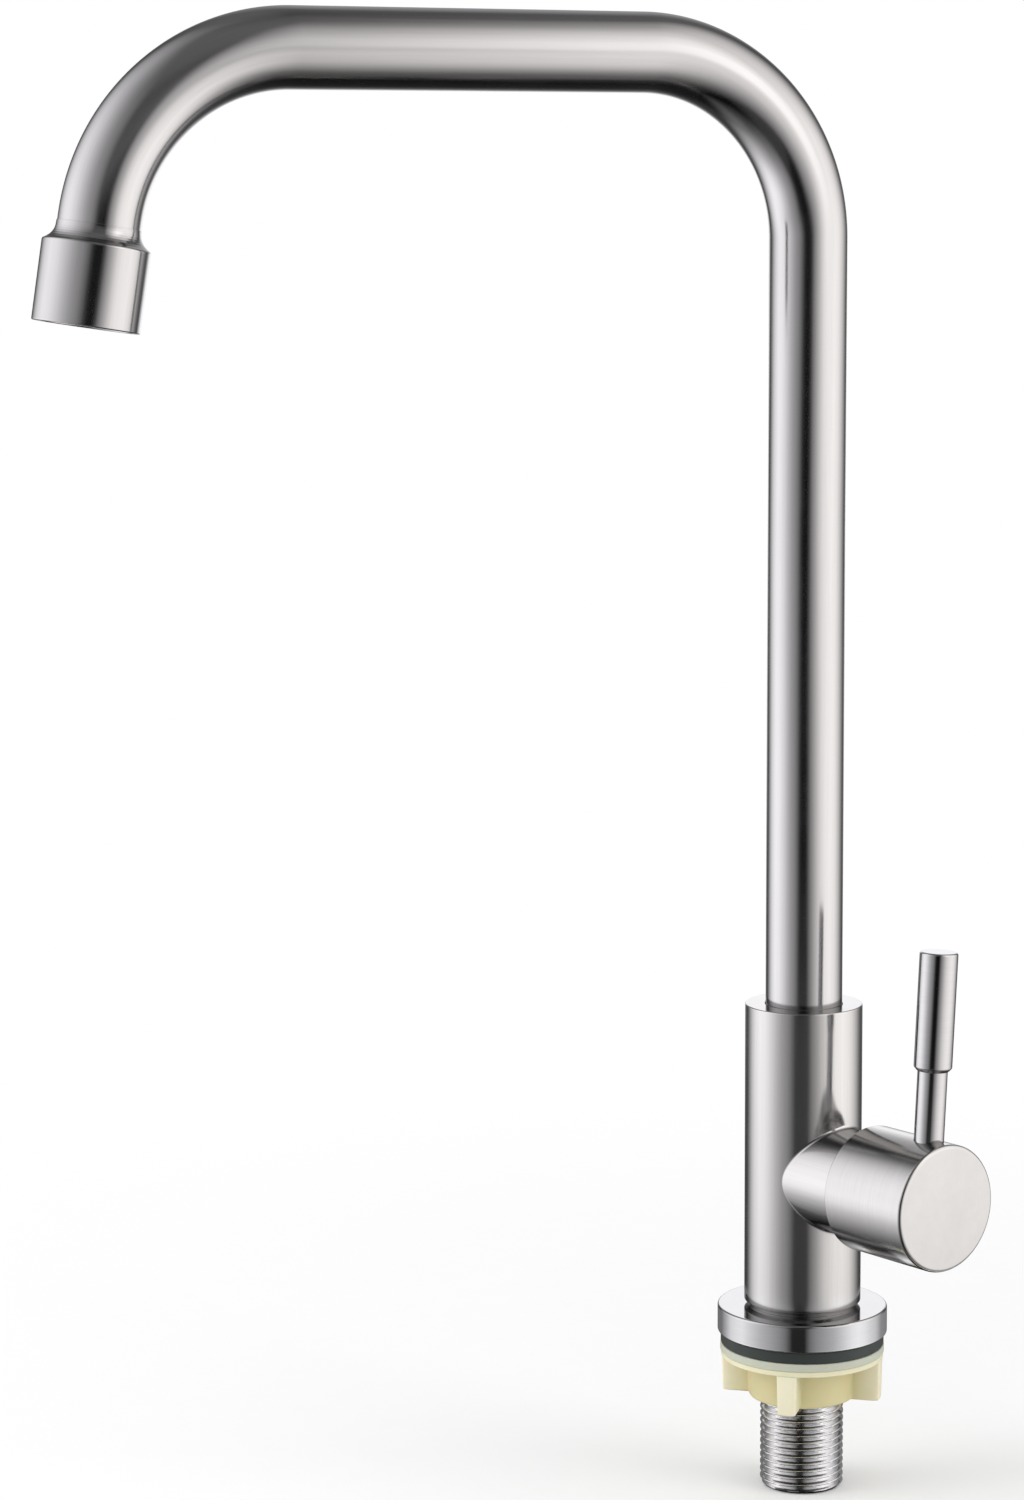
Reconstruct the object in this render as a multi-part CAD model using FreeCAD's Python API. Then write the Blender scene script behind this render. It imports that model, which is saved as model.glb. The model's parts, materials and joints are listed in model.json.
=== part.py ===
import FreeCAD, Part
import math
import os
from FreeCAD import Matrix, Placement, Vector

# A single-water kitchen tap: a barrel with a side valve, a swivelling spout and a deck fixing.
# All lengths are millimetres. Z is the barrel's axis, and z = 0 is the deck face under the gasket.
# The spout reaches along -X at rest. Azimuths are degrees from +X, counter-clockwise from above.

# Deck seat
GASKET_RADIUS = 20.5
GASKET_HEIGHT = 3.0
FLANGE_RADIUS = 21.3
FLANGE_HEIGHT = 7.0
FLANGE_EDGE = 0.6
SHANK_CLEARANCE = 0.12

# Barrel and side stub
BODY_RADIUS = 14.6
BODY_HEIGHT = 77.0
BODY_EDGE = 0.4
FOOT_INSET = 1.0
FOOT_HEIGHT = 0.3
FOOT_CHAMFER = 1.0
FRONT_AZIMUTH = 196.5
VALVE_ABOVE_FLANGE = 34.5
STUB_RADIUS = 13.0
STUB_REACH = 28.0
STUB_EDGE = 0.4

# Threaded shank, G 1/2 with 14 threads to the inch
THREAD_RADIUS = 10.4775
THREAD_PITCH = 25.4 / 14
THREAD_DEPTH = 1.162
THREAD_CREST = 0.3
THREAD_ROOT = 0.15
SHANK_BELOW_DECK = 36.7
SHANK_IN_BODY = 12.0
SHANK_BORE_RADIUS = 6.5
SHANK_CHAMFER = 0.8
SCREWED_CLEARANCE = 0.02
INLET_WASHER_HEIGHT = 1.5
INLET_WASHER_INSET = 0.6
INLET_CHAMBER_HEIGHT = 4.0

# Nut and washer under the deck
SLIP_WASHER_RADIUS = 20.6
SLIP_WASHER_HEIGHT = 2.0
NUT_FLANGE_RADIUS = 20.4
NUT_FLANGE_HEIGHT = 1.4
NUT_BOSS_RADIUS = 13.6
NUT_HEIGHT = 11.7
NUT_MINOR_CLEARANCE = 0.4
NUT_MAJOR_CLEARANCE = 0.2
NUT_FLANK_CLEARANCE = 0.15
LUG_COUNT = 4
LUG_WIDTH = 5.0
LUG_AZIMUTH = 233.0
LUG_EDGE = 0.5

# Waterways in the barrel
CAVITY_RADIUS = 9.5
CAVITY_START = -6.0
CAVITY_END = 14.0
PORT_RADIUS = 4.5
PASSAGE_RADIUS = 3.0
PASSAGE_OFFSET = -9.8
OUTLET_RADIUS = 5.0

# Spout tube
TUBE_RADIUS = 9.525
TUBE_WALL = 1.0
SEAT_WALL = 3.0
SPOUT_CLEARANCE = 0.1
TUBE_IN_BODY = 9.0
ARM_HEIGHT = 232.7
RISER_BEND_RADIUS = 43.8
OUTLET_BEND_RADIUS = 46.3
ARM_LENGTH = 87.6
OUTLET_BEND_ANGLE = 81.0
TUBE_TAIL = 9.8

# Ferrule with its rings, and the screw that keeps it in
THRUST_WASHER_HEIGHT = 1.0
THRUST_WASHER_WALL = 3.0
FERRULE_CLEARANCE = 0.05
FERRULE_SPIGOT = 8.0
FERRULE_BORE_RADIUS = 6.0
O_RING_DEPTH = 1.5
O_RING_WIDTH = 1.9
O_RING_GAP = 0.02
SCREW_GROOVE_WIDTH = 3.0
SCREW_GROOVE_DEPTH = 1.1
SCREW_RADIUS = 2.0
SCREW_TIP_RADIUS = 1.2
SCREW_TAPER = 0.8
SCREW_TIP_CLEARANCE = 0.35
SCREW_RECESS = 0.5
SCREW_SOCKET = 2.0
SCREW_SOCKET_DEPTH = 2.0
SLIP_RING_WIDTH = 4.0
SLIP_RING_DEPTH = 1.0

# Outlet collar and aerator, measured along the outlet from the end of the bend
COLLAR_RADIUS = 12.4
COLLAR_START = 1.0
COLLAR_LIP = 0.15
COLLAR_FLARE = 3.9
COLLAR_FLARE_RADIUS = 11.4
COLLAR_SHOULDER = 0.6
COLLAR_EDGE = 0.4
COLLAR_LENGTH = 23.0
BRAZE_CLEARANCE = 0.05
AERATOR_SEAT = 10.1
AERATOR_RADIUS = 10.4
AERATOR_CLEARANCE = 0.1
AERATOR_WALL = 1.2
AERATOR_GASKET_HEIGHT = 1.2
AERATOR_GASKET_WALL = 1.8
AERATOR_INSERT_CLEARANCE = 0.05
AERATOR_RECESS = 0.4
AERATOR_LEDGE = 0.8
JET_PLATE_HEIGHT = 2.0
JET_HOLE_RADIUS = 0.7
JET_COUNT = 12
JET_CIRCLE_RADIUS = 6.4
SCREEN_COUNT = 2
SCREEN_RIM_HEIGHT = 1.4
SCREEN_RIM_WALL = 1.2
SCREEN_HEIGHT = 0.4
SCREEN_PITCH = 2.4
SCREEN_OPENING = 1.6
GRID_HEIGHT = 3.0
GRID_PITCH = 3.0
GRID_OPENING = 2.3
GRID_RIM = 1.0
GRID_RECESS = 0.8
NOTCH_COUNT = 4
NOTCH_WIDTH = 2.4
NOTCH_DEPTH = 1.0

# Valve cartridge, measured along the stub's axis from the barrel's axis
HOUSING_CLEARANCE = 0.1
HOUSING_START = -5.6
HOUSING_WALL = 0.9
HOUSING_SHOULDER = 6.5
HOUSING_THREAD_END = 27.0
HEX_ACROSS_FLATS = 22.0
HEX_HEIGHT = 5.0
NECK_RADIUS = 7.5
NECK_LENGTH = 3.0
WINDOW_START = 0.6
WINDOW_END = 4.6
WINDOW_WIDTH = 8.0
HOUSING_GROOVE = 10.0
HOUSING_GROOVE_WIDTH = 2.4
HOUSING_GROOVE_DEPTH = 1.4
SEAL_HEIGHT = 2.5
DISC_HEIGHT = 3.0
DISC_CLEARANCE = 0.1
DISC_PORT_INNER = 2.0
DISC_PORT_OUTER = 6.8
DISC_PORT_ANGLE = 76.0
DISC_SLOT_WIDTH = 5.0
DISC_SLOT_LENGTH = 14.0
DISC_SLOT_DEPTH = 1.4

# Stem
STEM_RADIUS = 4.0
STEM_CLEARANCE = 0.06
STEM_BAR_CLEARANCE = 0.1
STEM_COLLAR_RADIUS = 7.0
STEM_COLLAR_HEIGHT = 1.3
SLIDE_RING_HEIGHT = 0.6
SLIDE_RING_RADIUS = 7.5
STEM_GROOVES = (12.0, 17.0)
STEM_GROOVE_DEPTH = 1.2
CLIP_HEIGHT = 0.9
CLIP_RADIUS = 5.6
CLIP_GROOVE_DEPTH = 0.8
CLIP_CLEARANCE = 0.1
SPLINE_LENGTH = 9.0
SPLINE_TEETH = 20
SPLINE_DEPTH = 0.35

# Hub, lever and guide ring
HUB_RADIUS = 15.6
HUB_BACK = 24.65
HUB_LENGTH = 26.25
HUB_EDGE = 0.9
HUB_BACK_EDGE = 0.3
SKIRT_CLEARANCE = 0.3
SKIRT_FLOOR_CLEARANCE = 0.5
STEM_END_CLEARANCE = 0.4
LEVER_PLACE = 43.7
LEVER_LEAN = 3.5
LEVER_FOOT_RADIUS = 3.65
LEVER_FOOT_LENGTH = 17.0
LEVER_GRIP_RADIUS = 4.65
LEVER_GRIP_LENGTH = 28.9
LEVER_GRIP_EDGE = 0.9
LEVER_TIP_EDGE = 0.6
LEVER_SPOTFACE = 1.0
LEVER_STUD_RADIUS = 3.0
LEVER_STUD_GAP = 0.4
GRUB_RADIUS = 2.5
GRUB_LENGTH = 9.5
GRUB_SOCKET = 2.5
GUIDE_RING_START = 25.2
GUIDE_RING_WIDTH = 2.0
GUIDE_RING_DEPTH = 1.0
GUIDE_RING_CLEARANCE = 0.07

# Heights and places that follow from the sizes above
FLANGE_TOP = GASKET_HEIGHT + FLANGE_HEIGHT
BODY_TOP = FLANGE_TOP + BODY_HEIGHT
VALVE_HEIGHT = FLANGE_TOP + VALVE_ABOVE_FLANGE
VALVE_AZIMUTH = FRONT_AZIMUTH + 90
SHANK_TOP = FLANGE_TOP + SHANK_IN_BODY
CHAMBER_TOP = SHANK_TOP + INLET_CHAMBER_HEIGHT
FLANK = (THREAD_PITCH - THREAD_CREST - THREAD_ROOT) / 2 / THREAD_DEPTH
THREAD_START = -SHANK_BELOW_DECK - THREAD_PITCH
NUT_TOP = -SLIP_WASHER_HEIGHT
NUT_BOTTOM = NUT_TOP - NUT_HEIGHT
SPOUT_BORE_RADIUS = TUBE_RADIUS + SPOUT_CLEARANCE
SPOUT_BORE_FLOOR = VALVE_HEIGHT + CAVITY_RADIUS + SEAT_WALL
TUBE_FOOT = BODY_TOP - TUBE_IN_BODY
FERRULE_FOOT = SPOUT_BORE_FLOOR + THRUST_WASHER_HEIGHT
FERRULE_RADIUS = TUBE_RADIUS
FERRULE_GROOVES = 2 * O_RING_WIDTH + SCREW_GROOVE_WIDTH + SLIP_RING_WIDTH
FERRULE_LAND = (TUBE_FOOT - FERRULE_FOOT - FERRULE_GROOVES) / 5
FERRULE_RING_FEET = (FERRULE_FOOT + FERRULE_LAND, FERRULE_FOOT + 2 * FERRULE_LAND + O_RING_WIDTH)
SCREW_GROOVE_FOOT = FERRULE_FOOT + 3 * FERRULE_LAND + 2 * O_RING_WIDTH
SLIP_RING_FOOT = SCREW_GROOVE_FOOT + SCREW_GROOVE_WIDTH + FERRULE_LAND
TUBE_BORE_RADIUS = TUBE_RADIUS - TUBE_WALL
ARM_AXIS = BODY_TOP + ARM_HEIGHT
COLLAR_END = COLLAR_START + COLLAR_LENGTH
AERATOR_TOP = COLLAR_START + AERATOR_SEAT
AERATOR_BODY_TOP = AERATOR_TOP + AERATOR_GASKET_HEIGHT
AERATOR_END = COLLAR_END - AERATOR_RECESS
AERATOR_BORE = AERATOR_RADIUS - AERATOR_WALL
AERATOR_INSERT = AERATOR_BORE - AERATOR_INSERT_CLEARANCE
SCREENS_TOP = AERATOR_BODY_TOP + JET_PLATE_HEIGHT
SCREENS_END = SCREENS_TOP + SCREEN_COUNT * SCREEN_RIM_HEIGHT
GRID_TOP = AERATOR_END - GRID_RECESS - GRID_HEIGHT
HOUSING_RADIUS = CAVITY_RADIUS - HOUSING_CLEARANCE
HOUSING_BORE = HOUSING_RADIUS - HOUSING_WALL
STUB_BORE_RADIUS = THREAD_RADIUS + SCREWED_CLEARANCE
HEX_TOP = STUB_REACH + HEX_HEIGHT
NECK_TOP = HEX_TOP + NECK_LENGTH
FIXED_DISC_START = CAVITY_START + SEAL_HEIGHT
MOVING_DISC_START = FIXED_DISC_START + DISC_HEIGHT
MOVING_DISC_END = MOVING_DISC_START + DISC_HEIGHT
DISC_RADIUS = HOUSING_BORE - DISC_CLEARANCE
STEM_COLLAR_TOP = HOUSING_SHOULDER - SLIDE_RING_HEIGHT
STEM_COLLAR_BASE = STEM_COLLAR_TOP - STEM_COLLAR_HEIGHT
CLIP_START = NECK_TOP + CLIP_CLEARANCE
SKIRT_FLOOR = CLIP_START + CLIP_HEIGHT + SKIRT_FLOOR_CLEARANCE
STEM_END = SKIRT_FLOOR + SPLINE_LENGTH
HUB_FACE = HUB_BACK + HUB_LENGTH
HUB_BORE_END = STEM_END + STEM_END_CLEARANCE
SKIRT_RADIUS = STUB_RADIUS + SKIRT_CLEARANCE
LEVER_SEAT = HUB_RADIUS - LEVER_SPOTFACE
LEVER_STEP = HUB_RADIUS + LEVER_FOOT_LENGTH
LEVER_TIP = LEVER_STEP + LEVER_GRIP_LENGTH

# How far a cutting shape runs past the face that it opens, how far a thread's does, and how much
# longer a blank is at each end while its thread is cut
PAST = 1.0
GROOVE_PAST = 0.2
BLANK_ENDS = 3 * THREAD_PITCH


def turned(points):
    """A solid of revolution about Z whose outline joins the (radius, height) points."""
    corners = [Vector(radius, 0, height) for radius, height in points]
    face = Part.Face(Part.makePolygon(corners + corners[:1]))
    return face.revolve(Vector(), Vector(0, 0, 1), 360)


def rod(radius, low, high):
    """A round bar about Z from one height to another."""
    return Part.makeCylinder(radius, high - low, Vector(0, 0, low))


def ring(outer, inner, low, high):
    """A flat ring about Z."""
    return turned([(inner, low), (outer, low), (outer, high), (inner, high)])


def soft_ring(outer, inner, low, high):
    """A sealing ring in its groove: a ring with rounded corners, a little squeezed."""
    round_by = 0.45 * min(outer - inner, high - low)
    plain = ring(outer, inner, low, high)
    return plain.makeFillet(round_by, [edge for edge in plain.Edges
                                       if edge.Curve.TypeId == "Part::GeomCircle"])


def block(x, y, low, high):
    """A block centred on Z, with its sides along X and Y."""
    return Part.makeBox(x, y, high - low, Vector(-x / 2, -y / 2, low))


def hexagon(across_flats, low, high):
    """A six-sided bar about Z."""
    corner = across_flats / 2 / math.cos(math.radians(30))
    points = [Vector(corner * math.cos(math.radians(60 * i)), corner * math.sin(math.radians(60 * i)), low)
              for i in range(6)]
    return Part.Face(Part.makePolygon(points + points[:1])).extrude(Vector(0, 0, high - low))


def spun(shape, angle):
    """A copy of the shape turned about Z by the angle."""
    copy = shape.copy()
    copy.rotate(Vector(), Vector(0, 0, 1), angle)
    return copy


def frame_placement(origin, x_axis, z_axis):
    """The placement that carries the X and Z axes to the given directions at the origin point."""
    y_axis = z_axis.cross(x_axis)
    return Placement(Matrix(x_axis.x, y_axis.x, z_axis.x, origin.x,
                            x_axis.y, y_axis.y, z_axis.y, origin.y,
                            x_axis.z, y_axis.z, z_axis.z, origin.z,
                            0, 0, 0, 1))


def on_valve(shape, turn=0.0):
    """Lays a shape that was made along Z on the stub's axis, its X side up, turned by an angle."""
    azimuth = math.radians(VALVE_AZIMUTH)
    along = Vector(math.cos(azimuth), math.sin(azimuth), 0)
    placed = spun(shape, turn)
    placed.Placement = frame_placement(Vector(0, 0, VALVE_HEIGHT), Vector(0, 0, 1), along) * placed.Placement
    return placed


def on_outlet(shape):
    """Lays a shape that was made along Z on the outlet's axis, from the end of the bend."""
    bend = math.radians(OUTLET_BEND_ANGLE)
    start = Vector(-RISER_BEND_RADIUS - ARM_LENGTH - OUTLET_BEND_RADIUS * math.sin(bend), 0,
                   ARM_AXIS - OUTLET_BEND_RADIUS + OUTLET_BEND_RADIUS * math.cos(bend))
    along = Vector(-math.cos(bend), 0, -math.sin(bend))
    placed = shape.copy()
    placed.Placement = frame_placement(start, Vector(0, 1, 0), along) * placed.Placement
    return placed


def thread_groove(mouth_radius, floor_radius, mouth_width, first, last):
    """The helical V groove of a thread, mouth to floor, from one turn to another of the shank's thread."""
    mouth = mouth_radius + math.copysign(GROOVE_PAST, mouth_radius - floor_radius)
    half_mouth = mouth_width / 2 + GROOVE_PAST * FLANK
    half_floor = mouth_width / 2 - abs(mouth_radius - floor_radius) * FLANK
    profile = Part.makePolygon([Vector(mouth, 0, -half_mouth), Vector(floor_radius, 0, -half_floor),
                                Vector(floor_radius, 0, half_floor), Vector(mouth, 0, half_mouth),
                                Vector(mouth, 0, -half_mouth)])
    helix = Part.makeHelix(THREAD_PITCH, (last - first) * THREAD_PITCH, mouth_radius)
    sweep = Part.BRepOffsetAPI.MakePipeShell(Part.Wire(helix))
    sweep.setFrenetMode(True)
    sweep.add(profile)
    sweep.build()
    sweep.makeSolid()
    groove = sweep.shape()
    groove.translate(Vector(0, 0, THREAD_START + first * THREAD_PITCH))
    return groove


def inlet_shank():
    """The tail: a threaded tube that screws into the barrel's foot."""
    low = -SHANK_BELOW_DECK
    tail = turned([(SHANK_BORE_RADIUS, low), (THREAD_RADIUS - SHANK_CHAMFER, low),
                   (THREAD_RADIUS, low + SHANK_CHAMFER), (THREAD_RADIUS, SHANK_TOP),
                   (SHANK_BORE_RADIUS, SHANK_TOP)])
    turns = math.ceil((FLANGE_TOP - THREAD_START) / THREAD_PITCH)
    groove = thread_groove(THREAD_RADIUS, THREAD_RADIUS - THREAD_DEPTH, THREAD_PITCH - THREAD_CREST, 0, turns)
    return rod(THREAD_RADIUS, THREAD_START - BLANK_ENDS, SHANK_TOP).cut(groove).common(tail)


def mounting_nut():
    """The lugged nut, with a thread that runs on the shank's."""
    shoulder = NUT_TOP - NUT_FLANGE_HEIGHT
    nut = turned([(0, NUT_BOTTOM), (NUT_BOSS_RADIUS - LUG_EDGE, NUT_BOTTOM),
                  (NUT_BOSS_RADIUS, NUT_BOTTOM + LUG_EDGE), (NUT_BOSS_RADIUS, shoulder),
                  (NUT_FLANGE_RADIUS - LUG_EDGE / 2, shoulder),
                  (NUT_FLANGE_RADIUS, shoulder + LUG_EDGE / 2), (NUT_FLANGE_RADIUS, NUT_TOP), (0, NUT_TOP)])
    reach = math.sqrt(NUT_FLANGE_RADIUS ** 2 - (LUG_WIDTH / 2) ** 2)
    lug = Part.makeBox(reach, LUG_WIDTH, NUT_HEIGHT - NUT_FLANGE_HEIGHT / 2,
                       Vector(0, -LUG_WIDTH / 2, NUT_BOTTOM))
    outer = [edge for edge in lug.Edges if edge.BoundBox.XMin > LUG_EDGE and edge.BoundBox.ZMin < shoulder]
    lower = [edge for edge in lug.Edges
             if edge.BoundBox.ZMax < NUT_BOTTOM + LUG_EDGE and edge.BoundBox.XLength > LUG_EDGE]
    lug = lug.makeFillet(LUG_EDGE, outer + lower)
    nut = nut.fuse([spun(lug, LUG_AZIMUTH + 360 * i / LUG_COUNT) for i in range(LUG_COUNT)])
    # The nut's groove holds the shank's ridge, half a pitch from the shank's own groove.
    minor = THREAD_RADIUS - THREAD_DEPTH + NUT_MINOR_CLEARANCE
    major = THREAD_RADIUS + NUT_MAJOR_CLEARANCE
    ridge = THREAD_CREST + 2 * (THREAD_RADIUS - minor) * FLANK
    first = math.floor((NUT_BOTTOM - THREAD_START) / THREAD_PITCH) - 0.5
    last = math.ceil((NUT_TOP - THREAD_START) / THREAD_PITCH) + 0.5
    sleeve_radius = (major + NUT_BOSS_RADIUS) / 2
    sleeve = ring(sleeve_radius, minor, NUT_BOTTOM - BLANK_ENDS, NUT_TOP + BLANK_ENDS)
    sleeve = sleeve.cut(thread_groove(minor, major, ridge + 2 * NUT_FLANK_CLEARANCE, first, last))
    sleeve = sleeve.common(rod(NUT_FLANGE_RADIUS, NUT_BOTTOM, NUT_TOP))
    return nut.cut(rod(sleeve_radius, NUT_BOTTOM - PAST, NUT_TOP + PAST)).fuse(sleeve)


def deck_seat():
    """The loose flange, the gasket under it and the washer under the deck."""
    hole = THREAD_RADIUS + SHANK_CLEARANCE
    flange = turned([(hole, GASKET_HEIGHT), (FLANGE_RADIUS - FLANGE_EDGE, GASKET_HEIGHT),
                     (FLANGE_RADIUS, GASKET_HEIGHT + FLANGE_EDGE), (FLANGE_RADIUS, FLANGE_TOP - FLANGE_EDGE),
                     (FLANGE_RADIUS - FLANGE_EDGE, FLANGE_TOP), (hole, FLANGE_TOP)])
    return {"base_flange": flange,
            "base_gasket": ring(GASKET_RADIUS, hole, 0, GASKET_HEIGHT),
            "slip_washer": ring(SLIP_WASHER_RADIUS, hole, -SLIP_WASHER_HEIGHT, 0)}


def faucet_body():
    """The barrel and its stub in one piece, with the inlet, the valve cavity and the spout's bore."""
    foot = BODY_RADIUS - FOOT_INSET
    barrel = turned([(0, FLANGE_TOP), (foot, FLANGE_TOP), (foot, FLANGE_TOP + FOOT_HEIGHT),
                     (BODY_RADIUS, FLANGE_TOP + FOOT_HEIGHT + FOOT_CHAMFER),
                     (BODY_RADIUS, BODY_TOP - BODY_EDGE), (BODY_RADIUS - BODY_EDGE, BODY_TOP), (0, BODY_TOP)])
    stub = on_valve(turned([(0, 0), (STUB_RADIUS, 0), (STUB_RADIUS, STUB_REACH - STUB_EDGE),
                            (STUB_RADIUS - STUB_EDGE, STUB_REACH), (0, STUB_REACH)]))
    ring_floor = STUB_RADIUS - GUIDE_RING_DEPTH
    cuts = [rod(THREAD_RADIUS + SCREWED_CLEARANCE, FLANGE_TOP - PAST, CHAMBER_TOP),
            on_valve(rod(CAVITY_RADIUS, CAVITY_START, CAVITY_END + PAST)),
            on_valve(rod(STUB_BORE_RADIUS, CAVITY_END, STUB_REACH + PAST)),
            on_valve(rod(PORT_RADIUS, PASSAGE_OFFSET, CAVITY_START + PAST)),
            on_valve(ring(STUB_RADIUS + PAST, ring_floor, GUIDE_RING_START,
                          GUIDE_RING_START + GUIDE_RING_WIDTH)),
            rod(OUTLET_RADIUS, VALVE_HEIGHT, SPOUT_BORE_FLOOR + PAST),
            rod(SPOUT_BORE_RADIUS, SPOUT_BORE_FLOOR, BODY_TOP + PAST),
            screw_hole()]
    azimuth = math.radians(VALVE_AZIMUTH)
    passage = rod(PASSAGE_RADIUS, CHAMBER_TOP - INLET_CHAMBER_HEIGHT / 2, VALVE_HEIGHT + PASSAGE_RADIUS)
    passage.translate(Vector(PASSAGE_OFFSET * math.cos(azimuth), PASSAGE_OFFSET * math.sin(azimuth), 0))
    return barrel.fuse(stub).cut(cuts + [passage])


def on_screw(shape):
    """Lays a shape that was made along Z across the barrel's back, at the height of the ferrule's groove."""
    azimuth = math.radians(FRONT_AZIMUTH + 180)
    outwards = Vector(math.cos(azimuth), math.sin(azimuth), 0)
    middle = SCREW_GROOVE_FOOT + SCREW_GROOVE_WIDTH / 2
    placed = shape.copy()
    placed.Placement = frame_placement(Vector(0, 0, middle), Vector(0, 0, 1), outwards) * placed.Placement
    return placed


def screw_hole():
    """The tapped hole for the spout's screw."""
    return on_screw(rod(SCREW_RADIUS + SCREWED_CLEARANCE, SPOUT_BORE_RADIUS - PAST, BODY_RADIUS + PAST))


def spout_screw():
    """The grub screw whose dog point stands in the ferrule's groove without touching it."""
    tip = FERRULE_RADIUS - SCREW_GROOVE_DEPTH + SCREW_TIP_CLEARANCE
    head = BODY_RADIUS - SCREW_RECESS
    screw = turned([(0, tip), (SCREW_TIP_RADIUS, tip), (SCREW_TIP_RADIUS, SPOUT_BORE_RADIUS),
                    (SCREW_RADIUS, SPOUT_BORE_RADIUS + SCREW_TAPER), (SCREW_RADIUS, head), (0, head)])
    return on_screw(screw.cut(hexagon(SCREW_SOCKET, head - SCREW_SOCKET_DEPTH, head + PAST)))


def tube_path():
    """The spout's centre line: up, over, and down into the outlet."""
    bend = math.radians(OUTLET_BEND_ANGLE)
    arm_start = -RISER_BEND_RADIUS
    arm_end = arm_start - ARM_LENGTH

    def riser_bend(angle):
        return Vector(-RISER_BEND_RADIUS + RISER_BEND_RADIUS * math.cos(angle), 0,
                      ARM_AXIS - RISER_BEND_RADIUS + RISER_BEND_RADIUS * math.sin(angle))

    def outlet_bend(angle):
        return Vector(arm_end - OUTLET_BEND_RADIUS * math.sin(angle), 0,
                      ARM_AXIS - OUTLET_BEND_RADIUS + OUTLET_BEND_RADIUS * math.cos(angle))

    end = outlet_bend(bend) + Vector(-math.cos(bend), 0, -math.sin(bend)) * TUBE_TAIL
    return Part.Wire([Part.makeLine(Vector(0, 0, TUBE_FOOT), riser_bend(0)),
                      Part.Arc(riser_bend(0), riser_bend(math.pi / 4), riser_bend(math.pi / 2)).toShape(),
                      Part.makeLine(riser_bend(math.pi / 2), outlet_bend(0)),
                      Part.Arc(outlet_bend(0), outlet_bend(bend / 2), outlet_bend(bend)).toShape(),
                      Part.makeLine(outlet_bend(bend), end)])


def spout_tube():
    """The bent tube, one wall thickness all along."""
    path = tube_path()
    start = Vector(0, 0, TUBE_FOOT)
    outside, inside = [path.makePipe(Part.Face(Part.Wire(Part.makeCircle(radius, start))))
                       for radius in (TUBE_RADIUS, TUBE_BORE_RADIUS)]
    return outside.cut(inside)


def ferrule_rings():
    """The ferrule in the tube's foot, its seals, its bearing ring and the washer that it turns on."""
    spigot = TUBE_BORE_RADIUS - BRAZE_CLEARANCE
    ring_outer = SPOUT_BORE_RADIUS - O_RING_GAP
    ring_inner = FERRULE_RADIUS - O_RING_DEPTH
    top = TUBE_FOOT
    ferrule = turned([(FERRULE_BORE_RADIUS, FERRULE_FOOT), (FERRULE_RADIUS, FERRULE_FOOT),
                      (FERRULE_RADIUS, top), (spigot, top), (spigot, top + FERRULE_SPIGOT),
                      (FERRULE_BORE_RADIUS, top + FERRULE_SPIGOT)])
    seals = []
    for low in FERRULE_RING_FEET:
        ferrule = ferrule.cut(ring(FERRULE_RADIUS + PAST, ring_inner, low, low + O_RING_WIDTH))
        seals.append(soft_ring(ring_outer, ring_inner, low, low + O_RING_WIDTH))
    bearing_inner = FERRULE_RADIUS - SLIP_RING_DEPTH
    ferrule = ferrule.cut([ring(FERRULE_RADIUS + PAST, FERRULE_RADIUS - SCREW_GROOVE_DEPTH,
                                SCREW_GROOVE_FOOT, SCREW_GROOVE_FOOT + SCREW_GROOVE_WIDTH),
                           ring(FERRULE_RADIUS + PAST, bearing_inner,
                                SLIP_RING_FOOT, SLIP_RING_FOOT + SLIP_RING_WIDTH)])
    return {"spout_ferrule": ferrule,
            "spout_o_rings": Part.makeCompound(seals),
            "spout_slip_ring": ring(SPOUT_BORE_RADIUS - FERRULE_CLEARANCE, bearing_inner,
                                    SLIP_RING_FOOT, SLIP_RING_FOOT + SLIP_RING_WIDTH),
            "thrust_washer": ring(SPOUT_BORE_RADIUS - FERRULE_CLEARANCE,
                                  SPOUT_BORE_RADIUS - THRUST_WASHER_WALL, SPOUT_BORE_FLOOR, FERRULE_FOOT)}


def outlet_collar():
    """The collar on the tube's end: a flare, a shoulder and a straight wall."""
    socket = TUBE_RADIUS + BRAZE_CLEARANCE
    flare_end = COLLAR_START + COLLAR_FLARE
    shoulder = flare_end + COLLAR_SHOULDER
    bore = AERATOR_RADIUS + AERATOR_CLEARANCE
    collar = turned([(socket, COLLAR_START), (socket, TUBE_TAIL), (TUBE_BORE_RADIUS, TUBE_TAIL),
                     (TUBE_BORE_RADIUS, AERATOR_TOP), (bore, AERATOR_TOP), (bore, COLLAR_END),
                     (COLLAR_RADIUS - COLLAR_EDGE, COLLAR_END), (COLLAR_RADIUS, COLLAR_END - COLLAR_EDGE),
                     (COLLAR_RADIUS, shoulder), (COLLAR_RADIUS - COLLAR_EDGE, shoulder - COLLAR_EDGE),
                     (COLLAR_FLARE_RADIUS, flare_end), (socket + COLLAR_LIP, COLLAR_START)])
    return on_outlet(collar)


def hex_places(pitch, reach):
    """The centres of a honeycomb of holes that stay within a radius."""
    rows = int(reach / pitch) + 1
    places = []
    for row in range(-rows, rows + 1):
        for column in range(-rows, rows + 1):
            x = pitch * (column + row / 2)
            y = pitch * row * math.sin(math.radians(60))
            if math.hypot(x, y) < reach:
                places.append(Vector(x, y, 0))
    return places


def pierced(plate, places, hole):
    """The plate with a copy of the hole cut at every place."""
    holes = []
    for place in places:
        copy = hole.copy()
        copy.translate(place)
        holes.append(copy)
    return plate.cut(holes)


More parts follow.
